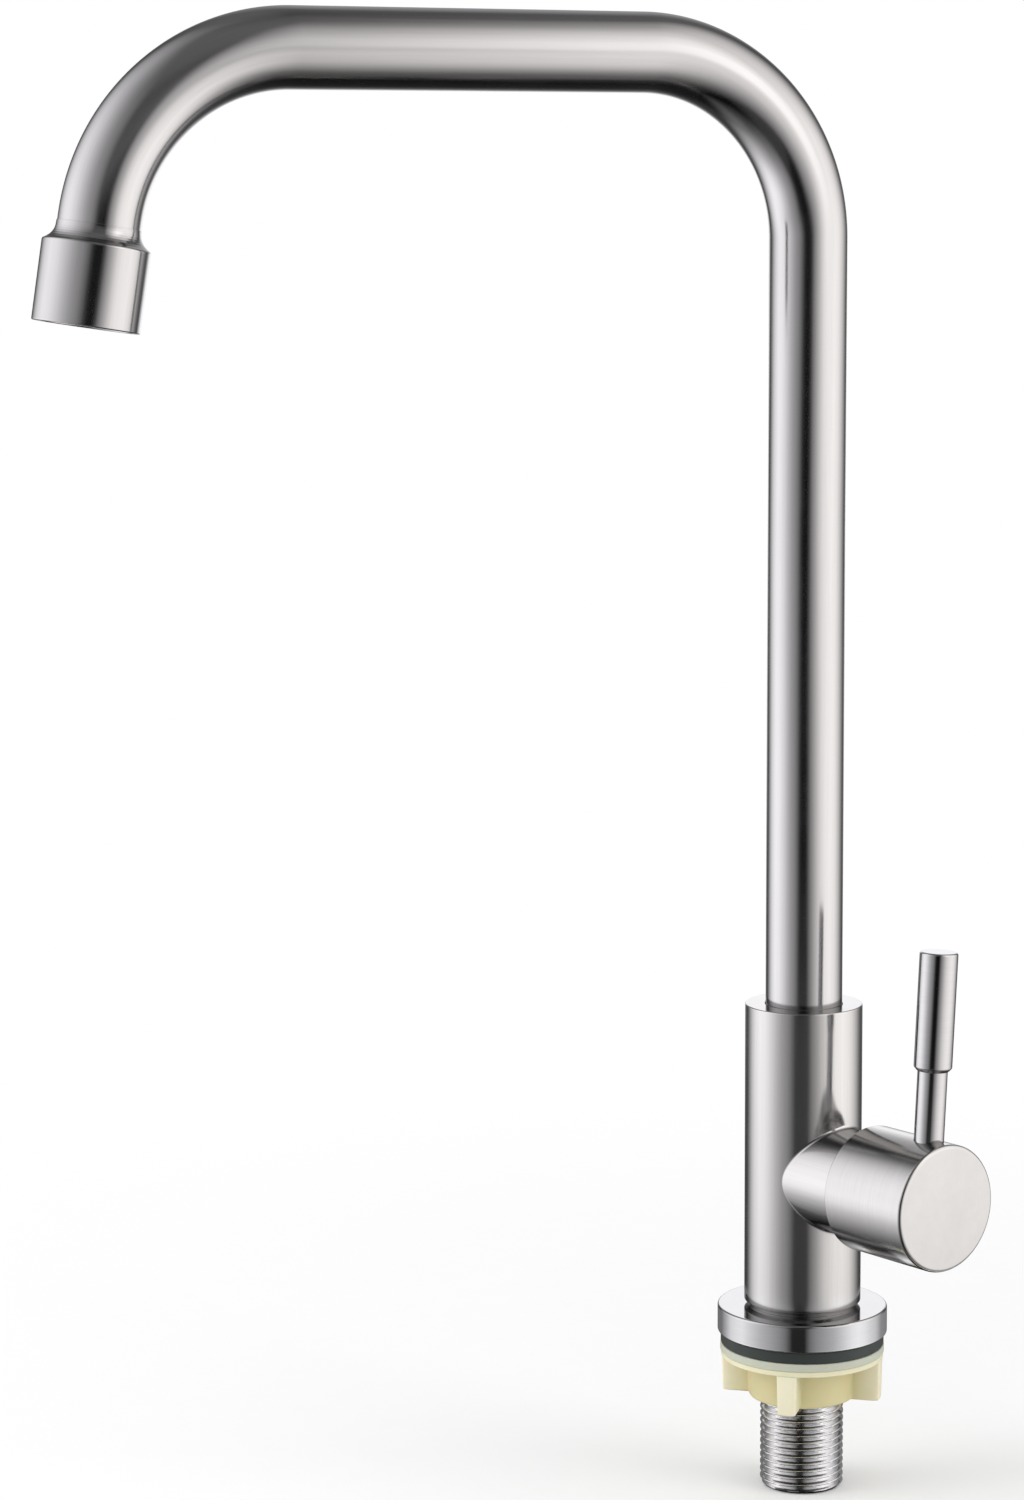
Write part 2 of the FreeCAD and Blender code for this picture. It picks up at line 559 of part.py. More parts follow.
def aerator():
    """The aerator's pieces, in the order that the water meets them."""
    housing = turned([(AERATOR_BORE, AERATOR_BODY_TOP), (AERATOR_RADIUS, AERATOR_BODY_TOP),
                      (AERATOR_RADIUS, AERATOR_END), (AERATOR_BORE, AERATOR_END), (AERATOR_BORE, GRID_TOP),
                      (AERATOR_BORE - AERATOR_LEDGE, GRID_TOP), (AERATOR_BORE - AERATOR_LEDGE, SCREENS_END),
                      (AERATOR_BORE, SCREENS_END)])
    notch = block(NOTCH_WIDTH, 2 * (AERATOR_RADIUS + PAST), AERATOR_END - NOTCH_DEPTH, AERATOR_END + PAST)
    housing = housing.cut([spun(notch, 360 * i / NOTCH_COUNT) for i in range(NOTCH_COUNT // 2)])
    jets = [Vector(JET_CIRCLE_RADIUS * math.cos(2 * math.pi * i / JET_COUNT),
                   JET_CIRCLE_RADIUS * math.sin(2 * math.pi * i / JET_COUNT), 0) for i in range(JET_COUNT)]
    plate = pierced(rod(AERATOR_INSERT, AERATOR_BODY_TOP, SCREENS_TOP), jets,
                    rod(JET_HOLE_RADIUS, AERATOR_BODY_TOP - PAST, SCREENS_TOP + PAST))
    screens = []
    screen_bore = AERATOR_INSERT - SCREEN_RIM_WALL
    for i in range(SCREEN_COUNT):
        low = SCREENS_TOP + i * SCREEN_RIM_HEIGHT
        mesh = pierced(rod(screen_bore + SCREEN_RIM_WALL / 2, low, low + SCREEN_HEIGHT),
                       hex_places(SCREEN_PITCH, screen_bore - SCREEN_PITCH / 2),
                       rod(SCREEN_OPENING / 2, low - PAST, low + SCREEN_HEIGHT + PAST))
        screens.append(mesh.fuse(ring(AERATOR_INSERT, screen_bore, low, low + SCREEN_RIM_HEIGHT)))
    grid_end = GRID_TOP + GRID_HEIGHT
    grid = pierced(rod(AERATOR_INSERT, GRID_TOP, grid_end),
                   hex_places(GRID_PITCH, AERATOR_INSERT - GRID_RIM - GRID_OPENING / 2),
                   hexagon(GRID_OPENING, GRID_TOP - PAST, grid_end + PAST))
    gasket = ring(AERATOR_RADIUS, AERATOR_RADIUS - AERATOR_GASKET_WALL, AERATOR_TOP, AERATOR_BODY_TOP)
    return {"aerator_gasket": on_outlet(gasket),
            "aerator_jet_plate": on_outlet(plate),
            "aerator_screens": on_outlet(Part.makeCompound(screens)),
            "aerator_housing": on_outlet(housing),
            "aerator_grid": on_outlet(grid)}


def cartridge_housing():
    """The headwork: a sleeve for the discs, the thread, the hexagon and the neck round the stem."""
    stem_bore = STEM_RADIUS + STEM_CLEARANCE
    housing = turned([(HOUSING_BORE, HOUSING_START), (HOUSING_RADIUS, HOUSING_START),
                      (HOUSING_RADIUS, CAVITY_END), (THREAD_RADIUS, CAVITY_END),
                      (THREAD_RADIUS, HOUSING_THREAD_END), (HOUSING_RADIUS, HOUSING_THREAD_END),
                      (HOUSING_RADIUS, STUB_REACH), (NECK_RADIUS, STUB_REACH), (NECK_RADIUS, NECK_TOP),
                      (stem_bore, NECK_TOP), (stem_bore, HOUSING_SHOULDER), (HOUSING_BORE, HOUSING_SHOULDER)])
    nut_head = hexagon(HEX_ACROSS_FLATS, STUB_REACH, HEX_TOP).cut(rod(NECK_RADIUS - PAST, STUB_REACH, HEX_TOP))
    window = block(2 * CAVITY_RADIUS, WINDOW_WIDTH, WINDOW_START, WINDOW_END)
    floor = HOUSING_RADIUS - HOUSING_GROOVE_DEPTH
    groove = ring(HOUSING_RADIUS + PAST, floor, HOUSING_GROOVE, HOUSING_GROOVE + HOUSING_GROOVE_WIDTH)
    return {"cartridge_housing": on_valve(housing.fuse(nut_head).cut([window, groove])),
            "housing_o_ring": on_valve(soft_ring(CAVITY_RADIUS - O_RING_GAP, floor, HOUSING_GROOVE,
                                                 HOUSING_GROOVE + HOUSING_GROOVE_WIDTH))}


def disc_ports(low, high):
    """The two opposite sector openings of a ceramic disc, across the X axis."""
    sector = Part.makeCylinder(DISC_PORT_OUTER, high - low, Vector(0, 0, low), Vector(0, 0, 1), DISC_PORT_ANGLE)
    sector = sector.cut(rod(DISC_PORT_INNER, low - PAST, high + PAST))
    return [spun(sector, middle - DISC_PORT_ANGLE / 2) for middle in (0, 180)]


def discs():
    """The fixed disc with its seal and the moving disc, shut: their openings stand a quarter turn apart."""
    fixed = rod(DISC_RADIUS, FIXED_DISC_START, MOVING_DISC_START).cut(
        disc_ports(FIXED_DISC_START - PAST, MOVING_DISC_START + PAST))
    moving = rod(DISC_RADIUS, MOVING_DISC_START, MOVING_DISC_END).cut(
        disc_ports(MOVING_DISC_START - PAST, MOVING_DISC_END + PAST))
    slot = block(DISC_SLOT_WIDTH, DISC_SLOT_LENGTH, MOVING_DISC_END - DISC_SLOT_DEPTH, MOVING_DISC_END + PAST)
    moving = moving.cut(spun(slot, 90))
    return {"fixed_disc": on_valve(fixed),
            "moving_disc": on_valve(moving, 90),
            "seat_seal": on_valve(ring(DISC_RADIUS, PORT_RADIUS, CAVITY_START, FIXED_DISC_START))}


def cartridge_stem():
    """The stem with the bar in the moving disc's slot, its rings and its clip."""
    groove = STEM_RADIUS - STEM_GROOVE_DEPTH
    clip_floor = STEM_RADIUS - CLIP_GROOVE_DEPTH
    stem = rod(STEM_RADIUS, STEM_COLLAR_BASE, STEM_END).fuse(
        rod(STEM_COLLAR_RADIUS, STEM_COLLAR_BASE, STEM_COLLAR_TOP))
    bar = block(DISC_SLOT_WIDTH - 2 * STEM_BAR_CLEARANCE, DISC_SLOT_LENGTH - 4 * STEM_BAR_CLEARANCE,
                MOVING_DISC_END - DISC_SLOT_DEPTH + STEM_BAR_CLEARANCE,
                STEM_COLLAR_BASE + STEM_COLLAR_HEIGHT / 2)
    bar = bar.common(rod(STEM_COLLAR_RADIUS, MOVING_DISC_START, STEM_COLLAR_TOP))
    stem = stem.fuse(bar)
    cuts = [ring(STEM_RADIUS + PAST, clip_floor, CLIP_START, CLIP_START + CLIP_HEIGHT)]
    seals = []
    for place in STEM_GROOVES:
        cuts.append(ring(STEM_RADIUS + PAST, groove, place, place + O_RING_WIDTH))
        seals.append(soft_ring(STEM_RADIUS + STEM_CLEARANCE - O_RING_GAP, groove,
                               place, place + O_RING_WIDTH))
    tooth_gap = math.pi * STEM_RADIUS / SPLINE_TEETH
    flute = Part.Face(Part.makePolygon([Vector(STEM_RADIUS - SPLINE_DEPTH, 0, SKIRT_FLOOR),
                                        Vector(STEM_RADIUS + SPLINE_DEPTH, -tooth_gap, SKIRT_FLOOR),
                                        Vector(STEM_RADIUS + SPLINE_DEPTH, tooth_gap, SKIRT_FLOOR),
                                        Vector(STEM_RADIUS - SPLINE_DEPTH, 0, SKIRT_FLOOR)]))
    flute = flute.extrude(Vector(0, 0, SPLINE_LENGTH + PAST))
    cuts += [spun(flute, 360 * i / SPLINE_TEETH) for i in range(SPLINE_TEETH)]
    clip = ring(CLIP_RADIUS, clip_floor, CLIP_START, CLIP_START + CLIP_HEIGHT)
    mouth = block(2 * clip_floor * 0.9, CLIP_RADIUS + PAST, CLIP_START - PAST, CLIP_START + CLIP_HEIGHT + PAST)
    mouth.translate(Vector(0, (CLIP_RADIUS + PAST) / 2, 0))
    slide = ring(SLIDE_RING_RADIUS, STEM_RADIUS + STEM_CLEARANCE, STEM_COLLAR_TOP, HOUSING_SHOULDER)
    return {"cartridge_stem": on_valve(stem.cut(cuts)),
            "stem_o_rings": on_valve(Part.makeCompound(seals)),
            "stem_clip": on_valve(clip.cut(mouth)),
            "stem_slide_ring": on_valve(slide)}


def across_hub(shape, turn):
    """Lays a shape that was made along Z on the lever's line across the hub, at an angle round the hub."""
    placed = shape.copy()
    placed.Placement = frame_placement(Vector(0, 0, LEVER_PLACE), Vector(0, 0, -1), Vector(1, 0, 0))
    return on_valve(placed, turn - LEVER_LEAN)


def handle():
    """The hub with its skirt, the lever pin and the screw that clamps the hub on the stem."""
    bore = STEM_RADIUS + STEM_CLEARANCE
    hub = turned([(0, HUB_BORE_END), (bore, HUB_BORE_END), (bore, SKIRT_FLOOR), (SKIRT_RADIUS, SKIRT_FLOOR),
                  (SKIRT_RADIUS, HUB_BACK), (HUB_RADIUS - HUB_BACK_EDGE, HUB_BACK),
                  (HUB_RADIUS, HUB_BACK + HUB_BACK_EDGE), (HUB_RADIUS, HUB_FACE), (0, HUB_FACE)])
    face_edge = [edge for edge in hub.Edges
                 if edge.BoundBox.ZMin > HUB_FACE - 0.01 and edge.BoundBox.XLength > HUB_RADIUS]
    hub = on_valve(hub.makeFillet(HUB_EDGE, face_edge))
    hub = hub.cut([across_hub(rod(LEVER_FOOT_RADIUS + SCREWED_CLEARANCE, LEVER_SEAT, HUB_RADIUS + PAST), 0),
                   across_hub(rod(LEVER_STUD_RADIUS + SCREWED_CLEARANCE, 0, HUB_RADIUS), 0),
                   across_hub(rod(GRUB_RADIUS + SCREWED_CLEARANCE, 0, HUB_RADIUS + PAST), 180)])
    stud_end = STEM_RADIUS + LEVER_STUD_GAP
    lever = turned([(0, stud_end), (LEVER_STUD_RADIUS, stud_end), (LEVER_STUD_RADIUS, LEVER_SEAT),
                    (LEVER_FOOT_RADIUS, LEVER_SEAT), (LEVER_FOOT_RADIUS, LEVER_STEP),
                    (LEVER_GRIP_RADIUS - LEVER_GRIP_EDGE, LEVER_STEP),
                    (LEVER_GRIP_RADIUS, LEVER_STEP + LEVER_GRIP_EDGE),
                    (LEVER_GRIP_RADIUS, LEVER_TIP - LEVER_TIP_EDGE),
                    (LEVER_GRIP_RADIUS - LEVER_TIP_EDGE, LEVER_TIP), (0, LEVER_TIP)])
    grub = rod(GRUB_RADIUS, STEM_RADIUS, STEM_RADIUS + GRUB_LENGTH)
    grub = grub.cut(hexagon(GRUB_SOCKET, STEM_RADIUS + GRUB_LENGTH / 2, STEM_RADIUS + GRUB_LENGTH + PAST))
    ring_floor = STUB_RADIUS - GUIDE_RING_DEPTH
    guide = ring(SKIRT_RADIUS - GUIDE_RING_CLEARANCE, ring_floor, GUIDE_RING_START,
                 GUIDE_RING_START + GUIDE_RING_WIDTH)
    return {"handle_hub": hub,
            "lever_pin": across_hub(lever, 0),
            "hub_grub_screw": across_hub(grub, 180),
            "handle_guide_ring": on_valve(guide)}


def build():
    """Every piece of the tap by the name of its file."""
    pieces = {"faucet_body": faucet_body(),
              "inlet_shank": inlet_shank(),
              "inlet_washer": ring(THREAD_RADIUS - SHANK_CLEARANCE, SHANK_BORE_RADIUS + INLET_WASHER_INSET,
                                   SHANK_TOP, SHANK_TOP + INLET_WASHER_HEIGHT),
              "mounting_nut": mounting_nut(),
              "spout_screw": spout_screw(),
              "spout_tube": spout_tube(),
              "outlet_collar": outlet_collar()}
    for group in (deck_seat(), ferrule_rings(), aerator(), cartridge_housing(), discs(), cartridge_stem(),
                  handle()):
        pieces.update(group)
    return pieces


os.makedirs("parts", exist_ok=True)
for name, shape in build().items():
    shape.exportStep("parts/" + name + ".step")
    print(name, len(shape.Solids), round(shape.Volume, 1), shape.isValid())
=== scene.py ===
"""The finished surfaces of a single-water kitchen tap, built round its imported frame.

Lengths are millimetres until a mesh is made, and the frame itself is in metres. Z is the barrel's
axis, z = 0 is the deck face under the gasket, and the spout reaches along -X at rest. A surface is a
grid of points, worked out as whole arrays from a profile or a formula, and every point also keeps its
place on the piece, so that the grain of the metal follows a bent tube as well as a straight one.
"""

import json
import logging
import math
from dataclasses import dataclass
from enum import Enum

import bpy
import numpy as np
from mathutils import Matrix


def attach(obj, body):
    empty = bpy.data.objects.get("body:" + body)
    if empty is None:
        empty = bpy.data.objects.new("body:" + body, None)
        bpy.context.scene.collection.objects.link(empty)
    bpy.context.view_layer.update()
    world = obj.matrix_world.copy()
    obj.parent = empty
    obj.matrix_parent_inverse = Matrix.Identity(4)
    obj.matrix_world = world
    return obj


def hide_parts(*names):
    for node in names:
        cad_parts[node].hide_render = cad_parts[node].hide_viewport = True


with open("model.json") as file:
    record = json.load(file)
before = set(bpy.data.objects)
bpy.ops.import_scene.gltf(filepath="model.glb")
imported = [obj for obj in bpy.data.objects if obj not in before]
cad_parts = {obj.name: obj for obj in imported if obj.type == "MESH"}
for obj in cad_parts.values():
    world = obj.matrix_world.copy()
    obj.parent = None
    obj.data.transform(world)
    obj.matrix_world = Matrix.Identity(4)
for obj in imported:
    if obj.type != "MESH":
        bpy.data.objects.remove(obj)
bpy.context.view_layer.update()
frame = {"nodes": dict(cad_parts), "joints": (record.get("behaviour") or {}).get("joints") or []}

MM = 0.001
LOG = logging.getLogger("kitchen_tap")
SURFACE_PLACE = "surface_place"
# EDGE marks rounded edges, where metals take a lighter tone as a painted highlight.
EDGE = "edge"
# RECESS_SHADE holds the painted shade that a moulded piece takes between ribs and in its bore.
RECESS_SHADE = "recess_shade"

# Faces that turn by less shade as one. A rounded corner turns by ARC_STEP at most from point to point,
# a run that turns by less than STRAIGHT needs no arc, the outer points of a straight run lie GUARD from
# its ends, points closer than MEETING are one point, lengths within SLACK count as equal, and a cut
# runs OVERCUT past the wall.
SMOOTH_DEGREES = 32.0
ARC_STEP = math.radians(13)
STRAIGHT = 1e-4
GUARD = 0.1
MEETING = 1e-6
SLACK = 0.01
OVERCUT = 1.0

Colour = Corner = Direction = tuple[float, float, float]
Levels = tuple[tuple[float, float | Colour], ...]
Piece = bpy.types.Object
Socket = bpy.types.NodeSocket


class Place(Enum):
    """Where a finish reads its pattern: on the piece's own surface, or in the frame."""

    SURFACE = "surface"
    OBJECT = "object"


@dataclass(frozen=True)
class Axis:
    """A line in the frame: where it starts, the way it runs, and the way that counts as its X."""

    start: Direction
    along: Direction
    across: Direction

    def place(self, local: np.ndarray) -> np.ndarray:
        """Carries points from the axis's own X, Y and Z to the frame's."""
        across, along = np.array(self.across), np.array(self.along)
        return np.array(self.start) + local @ np.stack([across, np.cross(along, across), along])


UPRIGHT = Axis((0.0, 0.0, 0.0), (0.0, 0.0, 1.0), (1.0, 0.0, 0.0))


def joint_axis(name: str, across: Direction) -> Axis:
    """The axis of a joint in the frame.

    Args:
        name: The joint's name.
        across: A direction square to the joint's axis.

    Returns:
        The axis, in millimetres.
    """
    joint = next(j for j in frame["joints"] if j["name"] == name)
    start = tuple(value / MM for value in joint["pos_m"])
    return Axis(start, tuple(joint["axis"]), across)


def arc_corner(before: np.ndarray, corner: np.ndarray, after: np.ndarray, radius: float) -> np.ndarray:
    """Rounds one corner of an outline with an arc that is tangent to both of its runs.

    A corner of turn t leaves its runs at radius * tan(t / 2) from the corner, and the points turn evenly
    about the centre that lies one radius inside both runs.

    Args:
        before: The corner before this one.
        corner: The corner to round.
        after: The corner after it.
        radius: How far to round it.

    Returns:
        The arc's points, or the corner alone where nothing is rounded.
    """
    into = (corner - before) / np.linalg.norm(corner - before)
    out = (after - corner) / np.linalg.norm(after - corner)
    turn = math.atan2(into[0] * out[1] - into[1] * out[0], into @ out)
    if radius == 0.0 or abs(turn) < STRAIGHT:
        return corner[None]
    start = corner - into * radius * math.tan(abs(turn) / 2)
    centre = start + math.copysign(radius, turn) * np.array([-into[1], into[0]])
    angle = np.linspace(0.0, turn, max(3, math.ceil(abs(turn) / ARC_STEP) + 1))
    arm = start - centre
    return centre + np.stack([arm[0] * np.cos(angle) - arm[1] * np.sin(angle),
                              arm[0] * np.sin(angle) + arm[1] * np.cos(angle)], -1)


def outline(corners: list[Corner], closed: bool = True, step: float = 4.0) -> tuple[np.ndarray, np.ndarray]:
    """Joins corners by straight runs with rounded corners, and divides the runs.

    Each run has a point close to both of its ends, so that the shade of a flat face doesn't bleed into
    the round beside it, and between them a point every step.

    Args:
        corners: (radius, height, rounding) of each corner, counter-clockwise with the radius to the right.
        closed: Whether the last corner joins the first.
        step: The longest that a run's part may be.

    Returns:
        The points, and for each the share in which it belongs to a rounded corner.
    """
    places = np.array([corner[:2] for corner in corners])
    arcs = []
    for index, (_radius, _height, rounding) in enumerate(corners):
        at_end = not closed and index in (0, len(corners) - 1)
        before, after = places[index - 1], places[(index + 1) % len(corners)]
        arcs.append(places[index][None] if at_end else arc_corner(before, places[index], after, rounding))
    points, edges = [], []
    for index, arc in enumerate(arcs):
        points.append(arc)
        edges.append(np.full(len(arc), float(len(arc) > 1)))
        if not closed and index == len(arcs) - 1:
            break
        start, end = arc[-1], arcs[(index + 1) % len(arcs)][0]
        length = np.linalg.norm(end - start)
        guard = min(GUARD, length / 4)
        share = np.linspace(guard, length - guard, max(2, math.ceil(length / step) + 1)) / length
        points.append(start + share[:, None] * (end - start))
        edges.append(np.zeros(len(share)))
    return np.concatenate(points), np.concatenate(edges)


def whole_turn(columns: int) -> np.ndarray:
    """The angles of a whole turn's columns, evenly spaced."""
    return np.arange(columns) * (2 * math.pi / columns)


def around(radius: np.ndarray, angle: np.ndarray, height: np.ndarray) -> np.ndarray:
    """Points about Z: at the angle a they lie at (radius cos a, radius sin a, height)."""
    across = radius * np.cos(angle)
    return np.stack([across, radius * np.sin(angle), np.broadcast_to(height, across.shape)], -1)


def lathe(profile: np.ndarray, columns: int) -> np.ndarray:
    """Turns a profile's (radius, height) points about Z to a grid with a row for each."""
    return around(profile[:, :1], whole_turn(columns), profile[:, 1:])


def skin(name: str, grid: np.ndarray, place: np.ndarray | None = None, edge: np.ndarray | float = 0.0,
         recess_shade: np.ndarray | float = 0.0, closed: bool = True, smooth: float = SMOOTH_DEGREES) -> Piece:
    """Makes a piece from a grid of points, with faces between neighbouring points.

    Rows run up the outside and columns counter-clockwise, which turns the faces outwards, and the last
    column joins the first. A row whose points all meet, as on an axis, becomes one point with triangles
    round it. The piece's object stands at the frame's origin.

    Args:
        name: The piece's name.
        grid: The points in the frame, rows by columns by 3.
        place: The same points on the piece's own surface, where they aren't those of the frame.
        edge: 1 where a row lies on a rounded edge, where metal is painted lighter as a painted highlight.
        recess_shade: The painted shade at a point, 1 where it lies far in between ribs.
        closed: Whether the last row joins the first.
        smooth: The degrees up to which its faces shade as one.

    Returns:
        The piece.
    """
    rows, columns = grid.shape[:2]
    index = np.arange(rows * columns).reshape(rows, columns)
    met = np.linalg.norm(grid - grid[:, :1], axis=-1).max(1) < MEETING
    index[met] = index[met, :1]
    index = np.concatenate([index, index[:, :1]], 1)
    if closed:
        index = np.concatenate([index, index[:1]])
    faces = np.stack([index[:-1, :-1], index[:-1, 1:], index[1:, 1:], index[1:, :-1]], -1).reshape(-1, 4)
    apart = faces != np.roll(faces, -1, axis=1)
    quads, pointed = faces[apart.all(1)], faces[apart.sum(1) == 3]
    triangles = pointed[pointed != np.roll(pointed, -1, axis=1)].reshape(-1, 3)
    used, compact = np.unique(np.concatenate([quads.ravel(), triangles.ravel()]), return_inverse=True)
    starts = np.concatenate([np.arange(len(quads)) * 4, 4 * len(quads) + np.arange(len(triangles)) * 3])
    mesh = bpy.data.meshes.new(name)
    mesh.vertices.add(len(used))
    mesh.loops.add(len(compact))
    mesh.polygons.add(len(starts))
    mesh.vertices.foreach_set("co", (grid.reshape(-1, 3)[used] * MM).astype(np.float32).ravel())
    mesh.loops.foreach_set("vertex_index", compact.astype(np.int32).ravel())
    mesh.polygons.foreach_set("loop_start", starts.astype(np.int32))
    own = (grid if place is None else place).reshape(-1, 3)[used] * MM
    held = mesh.attributes.new(SURFACE_PLACE, "FLOAT_VECTOR", "POINT")
    held.data.foreach_set("vector", own.astype(np.float32).ravel())
    for label, value in ((EDGE, edge), (RECESS_SHADE, recess_shade)):
        level = value[:, None] if np.ndim(value) == 1 else value
        level = np.broadcast_to(level, (rows, columns)).ravel()[used].astype(np.float32)
        mesh.attributes.new(label, "FLOAT", "POINT").data.foreach_set("value", level)
    mesh.update(calc_edges=True)
    mesh.validate()
    piece = bpy.data.objects.new(name, mesh)
    bpy.context.scene.collection.objects.link(piece)
    shade(piece, smooth)
    return piece


def turned(name: str, axis: Axis, corners: list[Corner], columns: int = 160, closed: bool = True,
           step: float = 4.0) -> Piece:
    """Makes a solid of revolution: the outline of the corners, turned about the axis.

    Args:
        name: The piece's name.
        axis: What it is turned about.
        corners: The outline's corners.
        columns: How many angles there are.
        closed: Whether the last corner joins the first.
        step: The longest that a run's part may be.

    Returns:
        The piece.
    """
    profile, edge = outline(corners, closed, step)
    grid = lathe(profile, columns)
    return skin(name, axis.place(grid), grid, edge, closed=closed)


def shade(piece: Piece, degrees: float) -> None:
    """Shades a piece smooth, with sharp edges where its faces turn by more than the degrees."""
    piece.data.polygons.foreach_set("use_smooth", np.ones(len(piece.data.polygons), bool))
    piece.data.set_sharp_from_angle(angle=math.radians(degrees))


def drill(axis: Axis, radius: float, low: float, high: float) -> Piece:
    """A closed round bar to cut with: its wall stands one radius from the axis.

    Args:
        axis: The bar's middle.
        radius: Its radius.
        low: Where it starts along the axis.
        high: Where it ends.

    Returns:
        The bar.
    """
    corners = [(0.0, low, 0.0), (radius, low, 0.0), (radius, high, 0.0), (0.0, high, 0.0)]
    return turned("drill", axis, corners, columns=64, closed=False)


def carve(piece: Piece, cutters: list[Piece]) -> None:
    """Takes closed cutters out of a closed piece and removes them.

    Args:
        piece: The piece to cut.
        cutters: What is cut away.
    """
    for cutter in cutters:
        modifier = piece.modifiers.new("cut", "BOOLEAN")
        modifier.operation = "DIFFERENCE"
        modifier.solver = "EXACT"
        modifier.object = cutter
    graph = bpy.context.evaluated_depsgraph_get()
    carved = bpy.data.meshes.new_from_object(piece.evaluated_get(graph), depsgraph=graph)
    piece.modifiers.clear()
    piece.data = carved
    shade(piece, SMOOTH_DEGREES)
    for cutter in cutters:
        bpy.data.objects.remove(cutter)


class Graph:
    """A node tree with short ways to add and join its nodes."""

    def __init__(self, tree: bpy.types.NodeTree) -> None:
        """Starts from an emptied tree."""
        self.tree = tree
        tree.nodes.clear()

    def add(self, kind: str, inputs: dict | None = None, **settings: object) -> bpy.types.Node:
        """Adds a node.

        Args:
            kind: The node's type, without its ShaderNode prefix.
            inputs: A value or another node's output for each named or numbered input.
            **settings: The node's own properties.

        Returns:
            The node.
        """
        node = self.tree.nodes.new(kind if kind.startswith("NodeGroup") else "ShaderNode" + kind)
        for name, value in settings.items():
            setattr(node, name, value)
        for name, value in (inputs or {}).items():
            if isinstance(value, Socket):
                self.tree.links.new(value, node.inputs[name])
            else:
                node.inputs[name].default_value = value
        return node

    def math(self, operation: str, first: object, second: object = 0.0) -> Socket:
        """One sum, product or other operation on two numbers."""
        return self.add("Math", {0: first, 1: second}, operation=operation).outputs[0]

    def vector(self, operation: str, *inputs: object) -> Socket:
        """One operation on vectors. A dot product and a length give a number."""
        node = self.add("VectorMath", dict(enumerate(inputs)), operation=operation)
        return node.outputs["Value" if operation in ("DOT_PRODUCT", "LENGTH") else "Vector"]

    def mix(self, share: object, first: object, second: object) -> Socket:
        """A colour between two colours."""
        colours = [value if isinstance(value, Socket) else (*value, 1.0) for value in (first, second)]
        return self.add("Mix", {0: share, 6: colours[0], 7: colours[1]}, data_type="RGBA").outputs[2]

    def rescale(self, value: object, source: tuple[float, float] = (0.0, 1.0),
                target: tuple[float, float] = (0.0, 1.0), curve: str = "LINEAR") -> Socket:
        """Carries a number from one range to another, and no further than its ends."""
        inputs = dict(enumerate((value, *source, *target)))
        return self.add("MapRange", inputs, interpolation_type=curve).outputs[0]

    def noise(self, place: Socket, scale: object, detail: float, roughness: float = 0.5) -> Socket:
        """Soft noise about 0.5."""
        return self.add("TexNoise", {"Vector": place, "Scale": scale, "Detail": detail,
                                     "Roughness": roughness}).outputs[0]

    def attribute(self, name: str, output: str = "Fac") -> Socket:
        """What the mesh keeps at each point under a name."""
        return self.add("Attribute", attribute_name=name).outputs[output]

    def object_place(self) -> Socket:
        """The place in the frame, in metres."""
        return self.add("TexCoord").outputs["Object"]

    def bump(self, relief: float, height: Socket) -> Socket:
        """The normal of a skin whose height runs over the relief, in millimetres."""
        return self.add("Bump", {"Distance": relief * MM, "Height": height}).outputs[0]

    def surface(self, shader: bpy.types.Node) -> None:
        """Ends the material with its shader."""
        self.add("OutputMaterial", {"Surface": shader.outputs[0]})

    def by_angle(self, angle: Socket, most: float, stops: Levels) -> Socket:
        """A grey or a colour by an angle, straight between its stops.

        Args:
            angle: The angle, in radians.
            most: The degrees at which the ramp ends, to both sides of 0.
            stops: The level or colour at some angles, in degrees.

        Returns:
            The colour.
        """
        node = self.add("ValToRGB", {0: self.rescale(angle, (-math.radians(most), math.radians(most)))})
        elements = node.color_ramp.elements
        while len(elements) < len(stops):
            elements.new(1.0)
        for element, (degrees, level) in zip(elements, stops):
            element.position = (degrees + most) / (2 * most)
            element.color = (*level, 1.0) if isinstance(level, tuple) else (level, level, level, 1.0)
        return node.outputs[0]


def new_material(name: str) -> tuple[bpy.types.Material, Graph]:
    """Makes a material with nothing in it yet.

    Args:
        name: The material's name.

    Returns:
        The material and its emptied graph.
    """
    material = bpy.data.materials.new(name)
    material.use_nodes = True
    return material, Graph(material.node_tree)


